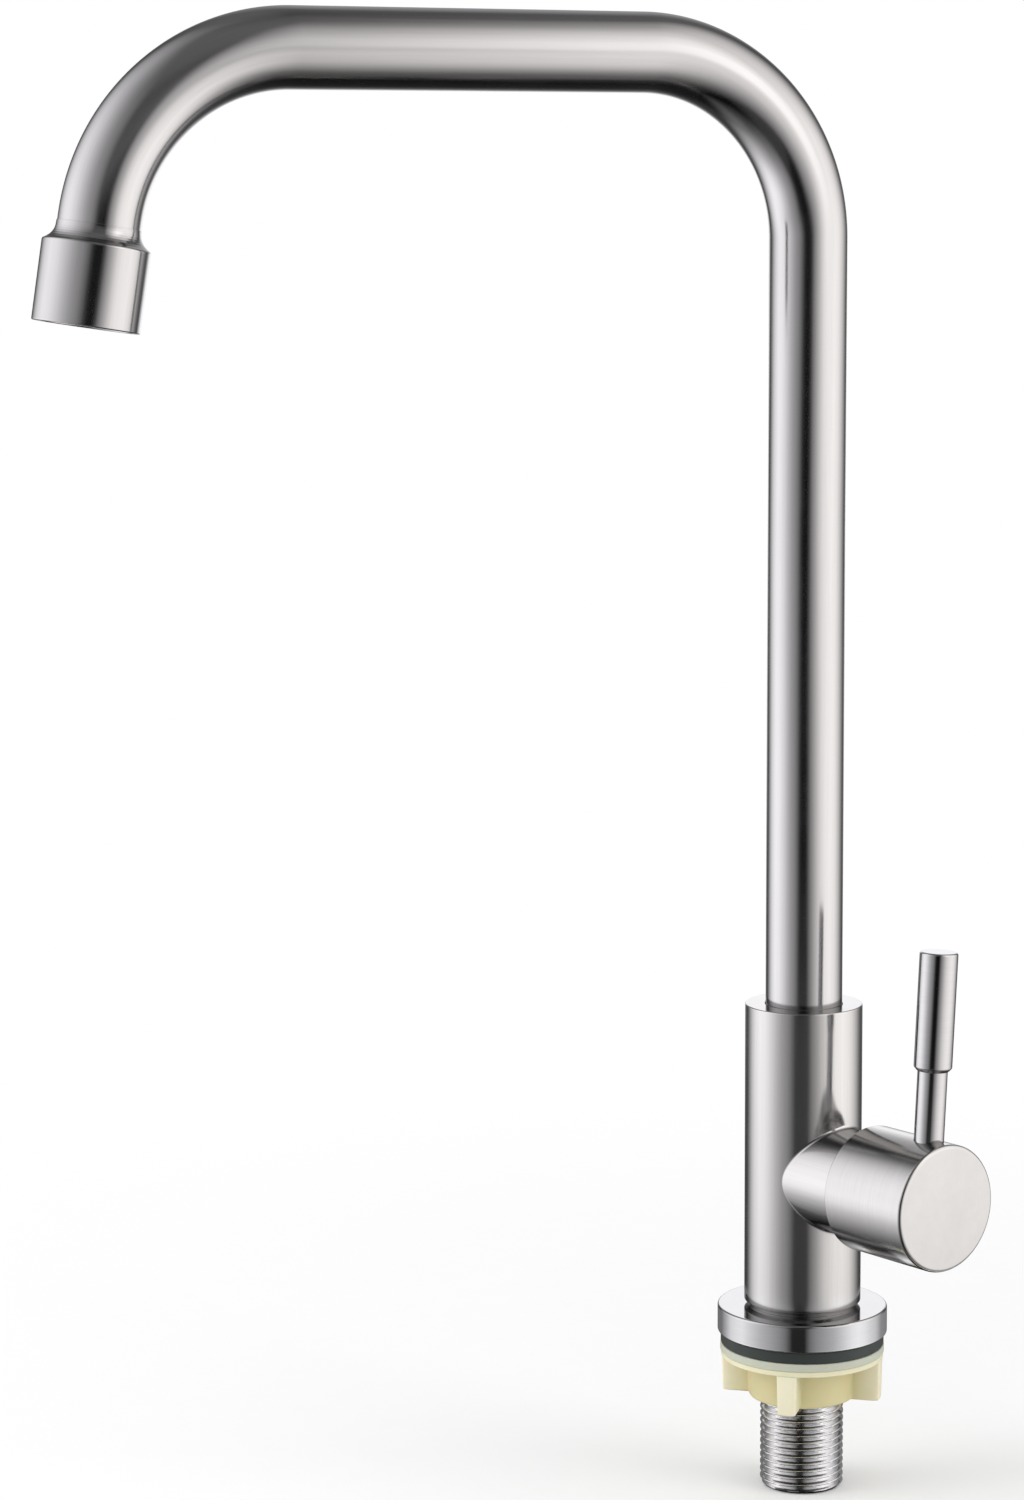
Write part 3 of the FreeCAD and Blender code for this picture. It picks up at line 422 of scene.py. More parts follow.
class Effects:
    """The shared effects: brushed grain and clouding, each one node group with its own inputs."""

    def __init__(self) -> None:
        """Builds both groups."""
        self.grain = self.make_grain()
        self.clouding = self.make_clouding()

    @staticmethod
    def make_group(name: str, inputs: dict[str, object], outputs: list[str]) -> tuple[Graph, object]:
        """Starts a group with its sockets.

        Args:
            name: The group's name.
            inputs: The first value of each input: three numbers for a vector, or one.
            outputs: The names of the outputs, all of them numbers.

        Returns:
            The group's graph and what comes in.
        """
        tree = bpy.data.node_groups.new(name, "ShaderNodeTree")
        for label, value in inputs.items():
            kind = "NodeSocketVector" if isinstance(value, tuple) else "NodeSocketFloat"
            tree.interface.new_socket(label, in_out="INPUT", socket_type=kind).default_value = value
        for label in outputs:
            tree.interface.new_socket(label, in_out="OUTPUT", socket_type="NodeSocketFloat")
        graph = Graph(tree)
        return graph, graph.add("NodeGroupInput").outputs

    def make_grain(self) -> bpy.types.NodeTree:
        """Fine parallel lines: noise on coordinates that are stretched along the grain, in two sizes.

        Returns:
            The group.
        """
        graph, given = self.make_group("brushed_grain", {
            "Place": (0.0, 0.0, 0.0), "Lines": (4000.0, 4000.0, 60.0)}, ["Tone", "Height"])
        lines = graph.vector("MULTIPLY", given["Place"], given["Lines"])
        fine = graph.noise(lines, 1.0, 5.0, 0.65)
        broad = graph.noise(lines, 0.21, 3.0)
        both = graph.math("ADD", graph.math("MULTIPLY", fine, 0.6), graph.math("MULTIPLY", broad, 0.4))
        tone = graph.rescale(both, (0.3, 0.7))
        graph.add("NodeGroupOutput", {"Tone": tone, "Height": fine})
        return graph.tree

    def make_clouding(self) -> bpy.types.NodeTree:
        """Faint marks of handling: soft noise whose middle values count most.

        Returns:
            The group.
        """
        graph, given = self.make_group("clouding", {"Place": (0.0, 0.0, 0.0), "Size": 60.0}, ["Mask"])
        noise = graph.noise(given["Place"], given["Size"], 4.0, 0.55)
        mask = graph.rescale(noise, (0.35, 0.7), curve="SMOOTHSTEP")
        graph.add("NodeGroupOutput", {"Mask": mask})
        return graph.tree


@dataclass(frozen=True)
class Metal:
    """A bare metal: the two tones of its grain, its gloss, and how its grain runs.

    The lines field gives the grain's steps to the metre along the surface's X, Y and Z, and a rounded
    edge is painted lighter by its share of the step between the tones, a painted highlight.
    """

    name: str
    dark: Colour
    light: Colour
    roughness: float
    roughness_spread: float
    lines: Direction
    relief: float
    clouding: float = 0.04
    edge_highlight: float = 0.35
    place: Place = Place.SURFACE

    def dress(self, graph: Graph, effects: Effects) -> bpy.types.Node:
        """Builds the shader.

        Args:
            graph: The material's graph.
            effects: The shared effects.

        Returns:
            The shader's node.
        """
        place = surface_place(graph, self.place)
        grain = graph.add("Group", {"Place": place, "Lines": self.lines}, node_tree=effects.grain).outputs
        clouds = graph.add("Group", {"Place": place}, node_tree=effects.clouding).outputs
        edge = graph.attribute(EDGE)
        # Painted highlight: a rounded edge is made lighter in tone.
        tone = graph.math("ADD", grain["Tone"], graph.math("MULTIPLY", edge, self.edge_highlight))
        spread = self.roughness_spread
        gloss = graph.rescale(grain["Tone"], target=(self.roughness - spread, self.roughness + spread))
        gloss = graph.math("ADD", gloss, graph.math("MULTIPLY", clouds["Mask"], self.clouding))
        return graph.add("BsdfPrincipled", {
            "Base Color": graph.mix(tone, self.dark, self.light), "Metallic": 1.0, "Roughness": gloss,
            "Normal": graph.bump(self.relief, grain["Height"])})


@dataclass(frozen=True)
class Moulded:
    """A moulded plastic, rubber or ceramic: its colour, a darker tone for painted shade and for clouding,
    and its skin.
    """

    name: str
    colour: Colour
    shade_and_cloud_tone: Colour
    roughness: float
    grain_size: float
    relief: float
    glow: float = 0.0
    coat: float = 0.0
    glow_depth: float = 2.0
    cloud_size: float = 220.0
    cloud_depth: float = 0.12
    cloud_gloss: float = 0.1
    place: Place = Place.SURFACE

    def dress(self, graph: Graph, effects: Effects) -> bpy.types.Node:
        """Builds the shader.

        Args:
            graph: The material's graph.
            effects: The shared effects.

        Returns:
            The shader's node.
        """
        place = surface_place(graph, self.place)
        clouds = graph.add("Group", {"Place": place, "Size": self.cloud_size}, node_tree=effects.clouding)
        mask = clouds.outputs["Mask"]
        # Painted shade: the recess attribute pulls the colour toward the darker tone; the clouding, faint
        # marks of handling, pulls it there too.
        depth = graph.math("ADD", graph.attribute(RECESS_SHADE), graph.math("MULTIPLY", mask, self.cloud_depth))
        return graph.add("BsdfPrincipled", {
            "Base Color": graph.mix(depth, self.colour, self.shade_and_cloud_tone),
            "Roughness": graph.rescale(mask, target=(self.roughness, self.roughness + self.cloud_gloss)),
            "Normal": graph.bump(self.relief, graph.noise(place, self.grain_size, 3.0)),
            "Subsurface Weight": self.glow, "Subsurface Scale": self.glow_depth * MM,
            "Coat Weight": self.coat})


def surface_place(graph: Graph, place: Place) -> Socket:
    """The coordinates that a finish reads, in metres."""
    return graph.attribute(SURFACE_PLACE, "Vector") if place is Place.SURFACE else graph.object_place()


Finish = Metal | Moulded

# Painted light: tube, barrel, collar and hub are one brushed steel, their tones set apart so each part comes
# out as bright as it looks.
BRUSHED_TUBE = Metal("brushed_tube", (0.82, 0.81, 0.82), (0.89, 0.88, 0.885), 0.14, 0.02,
                     (5200.0, 5200.0, 70.0), 0.0006)
BRUSHED_BARREL = Metal("brushed_barrel", (0.86, 0.85, 0.85), (0.94, 0.93, 0.925), 0.14, 0.03,
                       (4600.0, 4600.0, 60.0), 0.001)
BRUSHED_COLLAR = Metal("brushed_collar", (0.79, 0.78, 0.79), (0.86, 0.85, 0.855), 0.12, 0.02,
                       (5200.0, 5200.0, 70.0), 0.0006)
BRUSHED_HUB = Metal("brushed_hub", (0.80, 0.79, 0.785), (0.88, 0.87, 0.86), 0.13, 0.03,
                    (220.0, 220.0, 5200.0), 0.001)
POLISHED = Metal("polished_steel", (0.78, 0.775, 0.785), (0.84, 0.835, 0.845), 0.07, 0.02,
                 (300.0, 300.0, 4200.0), 0.0004, 0.02)
THREAD_STEEL = Metal("thread_steel", (0.82, 0.81, 0.81), (0.95, 0.94, 0.94), 0.12, 0.04,
                     (400.0, 400.0, 5200.0), 0.001)
SCREW_STEEL = Metal("screw_steel", (0.36, 0.36, 0.37), (0.50, 0.50, 0.51), 0.32, 0.06,
                    (900.0, 900.0, 3000.0), 0.002, place=Place.OBJECT)
SCREEN_STEEL = Metal("screen_steel", (0.50, 0.50, 0.50), (0.66, 0.66, 0.66), 0.30, 0.05,
                     (3000.0, 3000.0, 3000.0), 0.001, place=Place.OBJECT)
BRASS = Metal("turned_brass", (0.66, 0.49, 0.20), (0.80, 0.63, 0.32), 0.22, 0.06,
              (500.0, 500.0, 4200.0), 0.002, place=Place.OBJECT)
GASKET_RUBBER = Moulded("gasket_rubber", (0.03, 0.039, 0.035), (0.02, 0.026, 0.023), 0.45, 900.0, 0.01)
SEAL_RUBBER = Moulded("seal_rubber", (0.03, 0.03, 0.03), (0.02, 0.02, 0.02), 0.5, 900.0, 0.01,
                      place=Place.OBJECT)
NUT_PLASTIC = Moulded("nut_plastic", (0.80, 0.77, 0.58), (0.60, 0.54, 0.30), 0.38, 600.0, 0.01, 0.25)
WASHER_PLASTIC = Moulded("washer_plastic", (0.51, 0.53, 0.44), (0.45, 0.46, 0.36), 0.35, 700.0, 0.008, 0.3)
NYLON = Moulded("nylon", (0.82, 0.81, 0.76), (0.74, 0.73, 0.67), 0.42, 800.0, 0.006, 0.1, place=Place.OBJECT)
AERATOR_PLASTIC = Moulded("aerator_plastic", (0.72, 0.73, 0.74), (0.58, 0.59, 0.60), 0.36, 800.0, 0.006,
                          place=Place.OBJECT)
CERAMIC = Moulded("ceramic", (0.88, 0.87, 0.84), (0.80, 0.79, 0.76), 0.22, 1400.0, 0.002, 0.05, 0.3,
                  place=Place.OBJECT)


class Workshop:
    """Keeps the effects and the finishes that are made so far, and dresses the pieces with them."""

    def __init__(self) -> None:
        """Starts with the shared effects and no finish."""
        self.effects = Effects()
        self.made: dict[str, bpy.types.Material] = {}

    def material(self, finish: Finish) -> bpy.types.Material:
        """The material of a finish, made when it is first asked for.

        Args:
            finish: The finish.

        Returns:
            Its material.
        """
        if finish.name not in self.made:
            material, graph = new_material(finish.name)
            graph.surface(finish.dress(graph, self.effects))
            self.made[finish.name] = material
        return self.made[finish.name]

    def fit(self, piece: Piece, finish: Finish, body: str, slot: str, *nodes: str) -> None:
        """Dresses a new piece, lets it ride on its body and stand for its nodes, and reports it.

        Args:
            piece: The finished piece.
            finish: Its finish.
            body: The body that it moves with.
            slot: The record's material slot, which is not used.
            *nodes: The nodes that it stands for.
        """
        piece.data.materials.clear()
        piece.data.materials.append(self.material(finish))
        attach(piece, body)
        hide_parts(*nodes)
        LOG.info("%s rides on %s in %s, %d faces", piece.name, body, finish.name, len(piece.data.polygons))

    def redress(self, finishes: dict[Finish, tuple[str, ...]]) -> None:
        """Gives the nodes that keep their shape their finish.

        Args:
            finishes: The nodes' names under each finish.
        """
        for finish, nodes in finishes.items():
            for node in nodes:
                for holder in frame["nodes"][node].material_slots:
                    holder.material = self.material(finish)
                LOG.info("%s keeps its shape, in %s", node, finish.name)


@dataclass(frozen=True)
class Thread:
    """The G 1/2 thread of the tail, which the nut's thread follows with a small play."""

    radius: float = 10.4775
    pitch: float = 25.4 / 14
    depth: float = 1.162
    crest: float = 0.3
    root: float = 0.15
    easing: float = 0.3
    low: float = -36.7

    def sunk(self, angle: np.ndarray, height: np.ndarray) -> np.ndarray:
        """How far the thread lies below its crest, from 0 to 1.

        The groove's middle climbs one pitch in a turn. The distance from the nearest crest's middle,
        less half the crest's width, over the flank's width, is clipped to 0 and 1 and eased at both ends.

        Args:
            angle: The angles about Z.
            height: The heights, which go with them or lie square to them.

        Returns:
            A value for each angle and height.
        """
        turns = (height - self.low) / self.pitch - angle / (2 * math.pi) + 0.5
        from_crest = np.abs((turns + 0.5) % 1.0 - 0.5) * self.pitch
        flank = (self.pitch - self.crest - self.root) / 2
        share = np.clip((from_crest - self.crest / 2) / flank, 0.0, 1.0)
        return (1 - self.easing) * share + self.easing * share * share * (3 - 2 * share)


@dataclass(frozen=True)
class Barrel:
    """The barrel with its side stub: the valve's cavity and the spout's socket are open inside."""

    radius: float = 14.6
    low: float = 10.0
    high: float = 87.0
    top_round: float = 0.35
    mouth_round: float = 0.3
    foot_inset: float = 1.0
    foot_height: float = 0.3
    foot_slope: float = 1.0
    foot_rounds: Direction = (0.15, 0.2, 0.35)
    inlet_radius: float = 10.5
    inlet_top: float = 26.0
    socket_radius: float = 9.625
    socket_floor: float = 57.0
    cavity_radius: float = 9.5
    cavity_start: float = -6.0
    stub_radius: float = 13.0
    stub_reach: float = 28.0
    stub_bore: float = 10.5
    stub_step: float = 14.0
    stub_foot: float = 1.0
    weld: float = 0.8
    weld_rows: int = 9
    weld_sunk: float = 0.6
    columns: int = 192
    ring_start: float = 25.2
    ring_width: float = 2.0
    ring_depth: float = 1.0
    screw_height: float = 68.8
    screw_azimuth: float = 16.5
    screw_radius: float = 2.02

    def build(self, shop: Workshop, valve: Axis) -> None:
        """Builds the barrel and its stub as one piece on the tap's body.

        Args:
            shop: Dresses the piece.
            valve: The handle's axis, on which the stub stands.
        """
        foot = self.radius - self.foot_inset
        rim = self.low + self.foot_height
        under, corner, slope = self.foot_rounds
        corners = [(0.0, self.inlet_top, 0.0), (self.inlet_radius, self.inlet_top, 0.0),
                   (self.inlet_radius, self.low, 0.0), (foot, self.low, under), (foot, rim, corner),
                   (self.radius, rim + self.foot_slope, slope), (self.radius, self.high, self.top_round),
                   (self.socket_radius, self.high, self.mouth_round),
                   (self.socket_radius, self.socket_floor, 0.0), (0.0, self.socket_floor, 0.0)]
        barrel = turned("barrel", UPRIGHT, corners, self.columns, closed=False, step=2.5)
        azimuth = math.radians(self.screw_azimuth)
        outwards = (math.cos(azimuth), math.sin(azimuth), 0.0)
        screw = Axis((0.0, 0.0, self.screw_height), outwards, (0.0, 0.0, 1.0))
        carve(barrel, [drill(valve, self.cavity_radius, self.cavity_start, self.stub_reach),
                       drill(screw, self.screw_radius, self.socket_radius - OVERCUT, self.radius + OVERCUT)])
        join(barrel, self.stub(valve))
        shop.fit(barrel, BRUSHED_BARREL, "tap", "brushed_steel", "faucet_body")

    def stub(self, valve: Axis) -> Piece:
        """The stub, rolled into the barrel's wall by a ball of the weld's radius.

        At each angle round the stub, the ball's centre lies one ball outside both cylinders, and the weld
        turns about it from the barrel's wall to the stub's, by the shorter way. The first row is sunk
        into the barrel, and the last comes back to it through the bore.

        Args:
            valve: The handle's axis.

        Returns:
            The stub.
        """
        angle = whole_turn(self.columns)
        cosine, sine, flat = np.cos(angle), np.sin(angle), np.zeros(self.columns)
        outside = self.radius + self.weld
        offset = (self.stub_radius + self.weld) * sine
        reach = np.sqrt(outside ** 2 - offset ** 2)
        centre = np.stack([(self.stub_radius + self.weld) * cosine, offset, reach], -1)
        to_barrel = -np.stack([flat, offset, reach], -1) / outside
        to_stub = -np.stack([cosine, sine, flat], -1)
        between = np.arccos(np.clip((to_barrel * to_stub).sum(-1), -1, 1))[None, :, None]
        share = np.linspace(0.0, 1.0, self.weld_rows)[:, None, None]
        way = np.sin((1 - share) * between) * to_barrel + np.sin(share * between) * to_stub
        weld = centre + self.weld * way / np.sin(between)
        sunk = weld[:1] + self.weld_sunk * to_barrel
        foot = weld[-1, :, 2]
        ring_end = self.ring_start + self.ring_width
        floor = self.stub_radius - self.ring_depth
        wall, edge = outline([(self.stub_radius, 0.0, 0.0), (self.stub_radius, self.ring_start, 0.0),
                              (floor, self.ring_start, 0.0), (floor, ring_end, 0.0),
                              (self.stub_radius, ring_end, 0.0), (self.stub_radius, self.stub_reach, 0.3),
                              (self.stub_bore, self.stub_reach, 0.2), (self.stub_bore, self.stub_step, 0.0),
                              (self.cavity_radius, self.stub_step, 0.0),
                              (self.cavity_radius, self.stub_foot, 0.0)], closed=False, step=2.0)
        out = wall[:, 1] > 0.0
        rows = lathe(wall[out], self.columns)
        outer = np.arange(len(rows)) < np.argmax(wall[out][:, 0] < self.stub_radius - SLACK)
        rows[outer, :, 2] = foot + rows[outer, :, 2] / self.ring_start * (self.ring_start - foot)
        local = np.concatenate([sunk, weld, rows])
        marks = np.concatenate([np.zeros(1 + len(weld)), edge[out]])
        return skin("stub", valve.place(local), local, marks)


def join(piece: Piece, other: Piece) -> None:
    """Joins another piece into the first one, each still closed by itself.

    Args:
        piece: The piece that stays.
        other: The piece that becomes part of it.
    """
    with bpy.context.temp_override(active_object=piece, object=piece,
                                   selected_editable_objects=[piece, other]):
        bpy.ops.object.join()


@dataclass(frozen=True)
class DeckSeat:
    """What stands round the tail on the deck and under it: flange, gasket and slip washer."""

    hole: float = 10.6
    flange_radius: float = 21.3
    flange_low: float = 3.0
    flange_high: float = 10.0
    flange_round: float = 0.6
    gasket_radius: float = 20.5
    gasket_round: float = 0.45
    washer_radius: float = 20.6
    washer_height: float = 2.0
    washer_round: float = 0.35

    def build(self, shop: Workshop) -> None:
        """Builds the three rings.

        Args:
            shop: Dresses them.
        """
        rings = (("deck_flange", self.flange_radius, self.flange_low, self.flange_high, self.flange_round,
                  POLISHED, "tap", "polished_steel", "base_flange"),
                 ("deck_gasket", self.gasket_radius, 0.0, self.flange_low, self.gasket_round,
                  GASKET_RUBBER, "tap", "gasket_rubber", "base_gasket"),
                 ("deck_washer", self.washer_radius, -self.washer_height, 0.0, self.washer_round,
                  WASHER_PLASTIC, "washer", "washer_plastic", "slip_washer"))
        for name, radius, low, high, rounding, finish, body, slot, node in rings:
            corners = [(self.hole, low, 0.1), (radius, low, rounding), (radius, high, rounding),
                       (self.hole, high, 0.1)]
            shop.fit(turned(name, UPRIGHT, corners), finish, body, slot, node)


@dataclass(frozen=True)
class Tail:
    """The threaded tail, plain where it is screwed into the barrel."""

    bore: float = 6.5
    high: float = 22.0
    plain_above: float = 10.0
    chamfer: float = 0.8
    bore_chamfer: float = 0.5
    rows_to_pitch: int = 14
    columns: int = 128
    smooth: float = 50.0

    def build(self, shop: Workshop, thread: Thread) -> None:
        """Builds the tail: its radius is the thread's crest less the sunk depth at that angle and height.

        Args:
            shop: Dresses the piece.
            thread: The thread that is cut into it.
        """
        angle = whole_turn(self.columns)
        count = math.ceil((self.high - thread.low) / thread.pitch * self.rows_to_pitch)
        height = np.linspace(thread.low, self.high, count)[:, None]
        threaded = np.clip((self.plain_above - height) / thread.pitch, 0.0, 1.0)
        radius = thread.radius - thread.depth * thread.sunk(angle, height) * threaded
        radius = np.minimum(radius, thread.radius - self.chamfer + (height - thread.low))
        bore, _edge = outline([(thread.radius, self.high, 0.0), (self.bore, self.high, 0.0),
                               (self.bore, thread.low + self.bore_chamfer, 0.0),
                               (self.bore + self.bore_chamfer, thread.low, 0.0)], False)
        grid = np.concatenate([around(radius, angle, height), lathe(bore[1:], self.columns)])
        tail = skin("threaded_tail", grid, smooth=self.smooth)
        shop.fit(tail, THREAD_STEEL, "tap", "shank_steel", "inlet_shank")


@dataclass(frozen=True)
class LockNut:
    """The lugged nut: a flange, a boss with lugs under it and the tail's thread inside."""

    top: float = -2.0
    flange_height: float = 1.4
    height: float = 11.7
    flange_radius: float = 20.4
    flange_round: float = 0.3
    boss_radius: float = 13.6
    lug_reach: float = 20.3
    lug_width: float = 5.0
    lug_count: int = 4
    lug_azimuth: float = 233.0
    lug_round: float = 0.75
    draft: float = 0.25
    blend: float = 0.5
    least_sine: float = 0.02
    tip_columns: int = 4
    side_columns: int = 22
    boss_columns: int = 12
    play: float = 0.4
    bore_play: float = 0.2
    rim_band: float = 0.35
    bore_shade: float = 0.25
    rings: int = 4
    corner_rows: int = 7
    wall_rows: int = 9
    rows_to_pitch: int = 10
    smooth: float = 40.0

    def plan(self, angle: np.ndarray, shrink: np.ndarray) -> np.ndarray:
        """The outline below the flange, as a radius for each angle.

        A lug reaches to the lesser of its end's radius and half its width over the sine of the angle from
        its middle. The outline is the greater of that and the boss, and both choices are softened: the
        lesser or greater of a and b is half of their sum, less or plus the root of their difference
        squared and the blend squared.

        Args:
            angle: The angle from the nearest lug's middle.
            shrink: How far the whole outline is drawn in, one value for each row.

        Returns:
            The radii, rows by columns.
        """
        side = (self.lug_width / 2 - shrink) / np.maximum(np.abs(np.sin(angle)), self.least_sine)
        end = np.broadcast_to(self.lug_reach - shrink, side.shape)
        lug = (side + end - np.sqrt((side - end) ** 2 + self.blend ** 2)) / 2
        boss = self.boss_radius - shrink
        return (lug + boss + np.sqrt((lug - boss) ** 2 + self.blend ** 2)) / 2

    def angles(self) -> tuple[np.ndarray, np.ndarray]:
        """The columns' angles, closer together on a lug's sides.

        Returns:
            The angles from the nearest lug's middle, and in the frame.
        """
        half = math.pi / self.lug_count
        side = math.asin(self.lug_width / 2 / self.boss_radius)
        tip = math.asin(self.lug_width / 2 / self.lug_reach)
        quarter = np.concatenate([np.linspace(0.0, tip * 0.8, self.tip_columns),
                                  np.linspace(tip * 0.85, side * 1.05, self.side_columns),
                                  np.linspace(side * 1.15, half, self.boss_columns)])
        one = np.concatenate([-quarter[:0:-1], quarter[:-1]])
        middles = math.radians(self.lug_azimuth) + 2 * half * np.arange(self.lug_count)
        return np.tile(one, self.lug_count), (middles[:, None] + one).ravel()

    def build(self, shop: Workshop, thread: Thread) -> None:
        """Builds the nut, row by row up its outside and down its threaded bore.

        Args:
            shop: Dresses the piece.
            thread: The thread that runs in it.
        """
        from_lug, azimuth = self.angles()
        shoulder = self.top - self.flange_height
        bottom = self.top - self.height
        turn = np.linspace(0.0, math.pi / 2, self.corner_rows)
        wall = np.linspace(bottom + self.lug_round, shoulder, self.wall_rows)[1:]
        height = np.concatenate([bottom + self.lug_round * (1 - np.cos(turn)), wall])
        shrink = np.concatenate([self.lug_round * (1 - np.sin(turn)), np.zeros(len(wall))])
        shrink = shrink + self.draft * (shoulder - height) / (shoulder - bottom)
        outside = self.plan(from_lug[None], shrink[:, None])
        flange, _edge = outline([(self.boss_radius, shoulder, 0.0),
                                 (self.flange_radius, shoulder, self.flange_round),
                                 (self.flange_radius, self.top, self.flange_round),
                                 (thread.radius + self.play, self.top, 0.0)], False)
        edge = self.flange_radius - self.rim_band
        under = outside[-1:] + (edge - outside[-1:]) * np.linspace(0.1, 1, self.rings)[:, None]
        rim = flange[1:][(flange[1:, 0] >= edge) | (flange[1:, 1] > shoulder + SLACK)]
        count = math.ceil(self.height / thread.pitch * self.rows_to_pitch)
        inner = np.linspace(self.top, bottom, count)[:, None]
        groove = thread.sunk(azimuth[None], inner)
        bore = thread.radius + self.bore_play - (thread.depth - self.bore_play) * groove
        base = bore[-1:] + (outside[:1] - bore[-1:]) * np.linspace(0.2, 0.9, self.rings)[:, None]
        rim_radius = np.broadcast_to(rim[:, :1], (len(rim), len(azimuth)))
        radius = np.concatenate([outside, under, rim_radius, bore, base])
        heights = np.concatenate([height, np.full(self.rings, shoulder), rim[:, 1], inner[:, 0],
                                  np.full(self.rings, bottom)])
        grid = around(radius, azimuth, heights[:, None])
        # Painted shade: the boss between the lugs is darker the further in it lies, and the whole bore is
        # darker by a fixed share.
        shade_and_cloud_tone = np.clip((self.lug_reach - radius) / (self.lug_reach - self.boss_radius), 0.0, 1.0)
        shade_and_cloud_tone[len(height) + self.rings:] = self.bore_shade
        nut = skin("lugged_nut", grid, recess_shade=shade_and_cloud_tone, smooth=self.smooth)
        shop.fit(nut, NUT_PLASTIC, "nut", "nut_plastic", "mounting_nut")


@dataclass(frozen=True)
class Spout:
    """The bent tube and the collar on its end."""

    radius: float = 9.525
    wall: float = 1.0
    foot: float = 78.0
    arm_height: float = 319.7
    riser_bend: float = 43.8
    outlet_bend: float = 46.3
    arm_length: float = 87.6
    bend_degrees: float = 81.0
    tail: float = 9.8
    run_steps: tuple[int, ...] = (44, 56, 20, 52, 4)
    columns: int = 128
    collar_start: float = 1.0
    collar_length: float = 23.0
    flare_length: float = 4.5
    flare_steps: int = 9
    solder: float = 0.15
    fit: float = 0.05
    collar_radius: float = 12.4
    collar_bore: float = 10.5
    aerator_seat: float = 10.1

    def outlet(self) -> Axis:
        """The outlet's axis, from the end of the second bend.

        Returns:
            The axis.
        """
        bend = math.radians(self.bend_degrees)
        start = (-self.riser_bend - self.arm_length - self.outlet_bend * math.sin(bend), 0.0,
                 self.arm_height - self.outlet_bend * (1 - math.cos(bend)))
        return Axis(start, (-math.cos(bend), 0.0, -math.sin(bend)), (0.0, 1.0, 0.0))

    def centre_line(self) -> tuple[np.ndarray, np.ndarray, np.ndarray]:
        """The line up, over and down into the outlet.

        A run is start + length * direction, and a bend of radius r turns the heading by length / r about a
        centre that lies r to the left of the way.

        Returns:
            The points in the plane of X and Z, the heading at each, and the length up to each.
        """
        runs = ((self.arm_height - self.riser_bend - self.foot, 0.0),
                (self.riser_bend * math.pi / 2, self.riser_bend),
                (self.arm_length, 0.0),
                (self.outlet_bend * math.radians(self.bend_degrees), self.outlet_bend),
                (self.tail, 0.0))
        place, heading, travelled = np.array([0.0, self.foot]), math.pi / 2, 0.0
        places, headings, lengths = [], [], []
        for (length, radius), steps in zip(runs, self.run_steps):
            along = np.linspace(0.0, length, steps + 1)
            angle = heading + (along / radius if radius else np.zeros_like(along))
            if radius:
                centre = place + radius * np.array([-math.sin(heading), math.cos(heading)])
                points = centre + radius * np.stack([np.sin(angle), -np.cos(angle)], -1)
            else:
                points = place + along[:, None] * np.array([math.cos(heading), math.sin(heading)])
            keep = slice(0 if not places else 1, None)
            places.append(points[keep])
            headings.append(angle[keep])
            lengths.append(travelled + along[keep])
            place, heading, travelled = points[-1], angle[-1], travelled + length
        return np.concatenate(places), np.concatenate(headings), np.concatenate(lengths)

    def wall_grid(self, radius: float) -> tuple[np.ndarray, np.ndarray]:
        """One wall of the tube: a circle carried along the centre line, square to its heading.

        Args:
            radius: The circle's radius.

        Returns:
            The grid, and the same points on the tube as if it were straight.
        """
        places, headings, lengths = self.centre_line()
        angle = whole_turn(self.columns)
        across = np.stack([np.sin(headings), np.zeros_like(headings), -np.cos(headings)], -1)
        centre = np.stack([places[:, 0], np.zeros(len(places)), places[:, 1]], -1)
        side = np.array([0.0, 1.0, 0.0])
        grid = centre[:, None] + radius * (np.cos(angle)[:, None] * across[:, None]
                                           + np.sin(angle)[:, None] * side)
        straight = lathe(np.stack([np.full(len(lengths), radius), lengths], -1), self.columns)
        return grid, straight

    def flare(self, start: float) -> list[Corner]:
        """The solder's hollow curve to the collar's wall: it rises with the third power of the way along.

        Args:
            start: Where it starts along the outlet.

        Returns:
            Its corners.
        """
        share = np.linspace(0.0, 1.0, self.flare_steps)[1:-1]
        foot = self.radius + self.solder
        radius = foot + (self.collar_radius - foot) * share ** 3
        return [(float(r), start + float(s) * self.flare_length, 0.05) for r, s in zip(radius, share)]

    def build(self, shop: Workshop) -> None:
        """Builds the tube and the collar on the spout's body.

        Args:
            shop: Dresses the pieces.
        """
        outer, outer_place = self.wall_grid(self.radius)
        inner, inner_place = self.wall_grid(self.radius - self.wall)
        tube = skin("spout_pipe", np.concatenate([outer, inner[::-1]]),
                    np.concatenate([outer_place, inner_place[::-1]]))
        shop.fit(tube, BRUSHED_TUBE, "spout", "brushed_steel", "spout_tube")
        start, end = self.collar_start, self.collar_start + self.collar_length
        seat = start + self.aerator_seat
        bore, inside = self.radius - self.wall, self.radius + self.fit
        collar = turned("spout_collar", self.outlet(), [
            (inside, start, 0.0), (self.radius + self.solder, start, 0.05), *self.flare(start),
            (self.collar_radius, start + self.flare_length, 0.6), (self.collar_radius, end, 0.35),
            (self.collar_bore, end, 0.25), (self.collar_bore, seat, 0.0), (bore, seat, 0.0),
            (bore, self.tail, 0.0), (inside, self.tail, 0.0)])
        shop.fit(collar, BRUSHED_COLLAR, "spout", "brushed_steel", "outlet_collar")


